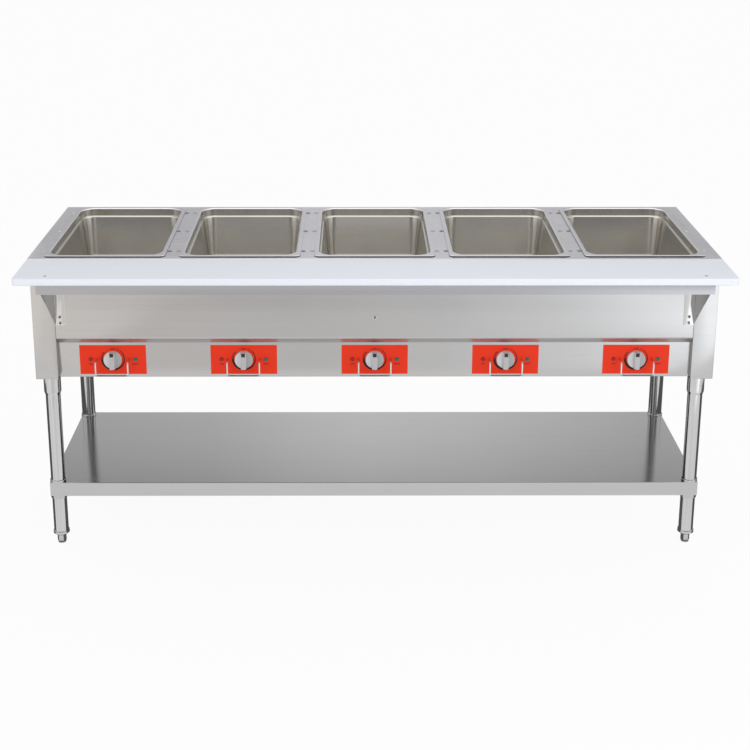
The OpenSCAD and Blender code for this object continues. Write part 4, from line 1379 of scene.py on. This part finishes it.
class FOODTABLE_OT_stage(bpy.types.Operator):
    """White floor and surroundings, soft lamps, cards and the camera"""

    bl_idname = "food_table.stage"
    bl_label = "Stage"

    def execute(self, context):
        s = settings()
        context.scene.view_settings.view_transform = "Standard"
        self.surroundings(context.scene, s)
        self.floor(s)
        self.cards(s)
        area_lamp("key_lamp", s.key, s.lamp_size, place=(2.3, -3.0, 1.7), aim=(0.4, 0, 0.65))
        area_lamp("fill_lamp", s.fill, s.lamp_size, place=(-2.4, -3.4, 1.7), aim=(-0.2, 0, 0.6))
        self.camera(context.scene, s)
        return {"FINISHED"}

    def surroundings(self, scene, s):
        scene.world = bpy.data.worlds.new("studio")
        sky = Finish("studio", scene.world)
        plain, white = [
            sky.node("ShaderNodeBackground", {}, {"Color": WHITE, "Strength": strength})
            for strength in (s.sky, 1.0)
        ]
        mixed = sky.node("ShaderNodeMixShader", {}, {0: white_to_eye(sky), 1: plain, 2: white})
        sky.show(mixed, "ShaderNodeOutputWorld")

    def floor(self, s):
        floor = new_piece(bpy.ops.mesh.primitive_plane_add, "floor", size=2 * s.floor)
        ground = Finish("floor_paper")
        shade = ground.tone(ground.noise((3, 3, 3)), WHITE[:3], 0.80, 0.82)
        matte = ground.node("ShaderNodeBsdfDiffuse", {}, {"Color": shade})
        glow = ground.node("ShaderNodeEmission", {}, {"Color": WHITE, "Strength": 1.0})
        part = white_to_eye(ground) * s.paper
        ground.show(ground.node("ShaderNodeMixShader", {}, {0: part, 1: matte, 2: glow}))
        floor.data.materials.append(ground.material)

    def cards(self, s):
        """Cards that the counter and shelf, the pans, the legs and the panels mirror."""
        wall = (
            (0.34, 0.70), (0.416, 0.76), (0.46, 0.9), (0.5, 0.97), (0.56, 0.91), (0.608, 0.82),
            (0.66, 0.72),
        )
        haze = ((0.27, 1.03), (0.34, 0.9), (0.40, 0.68), (0.45, 0.68), (0.52, 1.05), (0.60, 1.35))
        room = ((0.3, 0.5), (0.42, 0.85), (0.5, 1.35), (0.58, 0.85), (0.7, 0.5))
        back = rectangle(half=4.5, low=(2.6, 0.2), high=(2.6, 3.6))
        over = rectangle(half=1.7, low=(-1.3, 2.8), high=(0.9, 2.8))
        behind_camera = rectangle(half=4.0, low=(-4.4, 0.8), high=(-4.4, 3.4))
        studio_card("back_card", back, s.back_card, wall, haze)
        studio_card("top_card", over, s.top_card)
        studio_card("room_card", behind_camera, s.room_card, room)
        # Dark card on the floor: painted shadow of the table, seen only in mirrors.
        studio_card("floor_card", floor_outline(), s.floor_card)
        rise = (
            (0.262, 0.65), (0.295, 0.60), (0.337, 0.60), (0.342, 0.475), (0.354, 0.50), (0.412, 0.504),
            (0.452, 0.50), (0.55, 0.541), (0.632, 0.65), (0.688, 0.80), (0.735, 1.03),
        )
        lift, near, middle, far = 0.001, -1.2, -2.55, -4.5
        tints = (1.07, 1.0, 0.93), (0.93, 1.0, 1.07)
        for name, start, end, share in (
            ("front_card", middle, near, 1),
            ("far_card", far, middle, FAR_SHARE),
        ):
            outline = rectangle(half=3.0, low=(start, lift), high=(end, lift))
            studio_card(name, outline, share * s.front_card, rise, tints=tints)

    def camera(self, scene, s):
        eye = bpy.data.cameras.new("photo_camera")
        eye.lens = s.lens
        eye.sensor_width = 36
        eye.shift_x = s.shift_x
        eye.shift_y = s.shift_y
        camera = bpy.data.objects.new("photo_camera", eye)
        scene.collection.objects.link(camera)
        turn = Matrix.Rotation(s.yaw, 4, "Z") @ Matrix.Rotation(QUARTER - s.pitch, 4, "X")
        camera.matrix_world = Matrix.Translation(s.eye) @ turn @ Matrix.Rotation(s.roll, 4, "Z")
        scene.camera = camera


PIECES = (
    FOODTABLE_OT_folded_sheets,
    FOODTABLE_OT_drawn_pans,
    FOODTABLE_OT_wells,
    FOODTABLE_OT_cutting_board,
    FOODTABLE_OT_labels,
    FOODTABLE_OT_knobs,
    FOODTABLE_OT_lamps,
    FOODTABLE_OT_fasteners,
    FOODTABLE_OT_legs,
    FOODTABLE_OT_power_entry,
    FOODTABLE_OT_stage,
)


class FOODTABLE_PT_sidebar(bpy.types.Panel):
    """Lists the pieces of the table and its stage"""

    bl_idname = "FOODTABLE_PT_sidebar"
    bl_label = "Food Table"
    bl_space_type = "VIEW_3D"
    bl_region_type = "UI"
    bl_category = "Food Table"

    def draw(self, context):
        column = self.layout.column()
        for piece in PIECES:
            column.operator(piece.bl_idname)


GROUPS = {
    "food_table_sizes": TableSizes,
    "food_table_colours": TableColours,
    "food_table_stage": StageSettings,
}
CLASSES = (*GROUPS.values(), *PIECES, FOODTABLE_PT_sidebar)


def register():
    for kind in CLASSES:
        bpy.utils.register_class(kind)
    for name, group in GROUPS.items():
        setattr(bpy.types.Scene, name, PointerProperty(type=group))


def unregister():
    for name in GROUPS:
        delattr(bpy.types.Scene, name)
    for kind in reversed(CLASSES):
        bpy.utils.unregister_class(kind)


def main():
    register()
    for piece in PIECES:
        group, name = piece.bl_idname.split(".")
        getattr(getattr(bpy.ops, group), name)()
    bpy.context.view_layer.update()


if __name__ == "__main__":
    main()
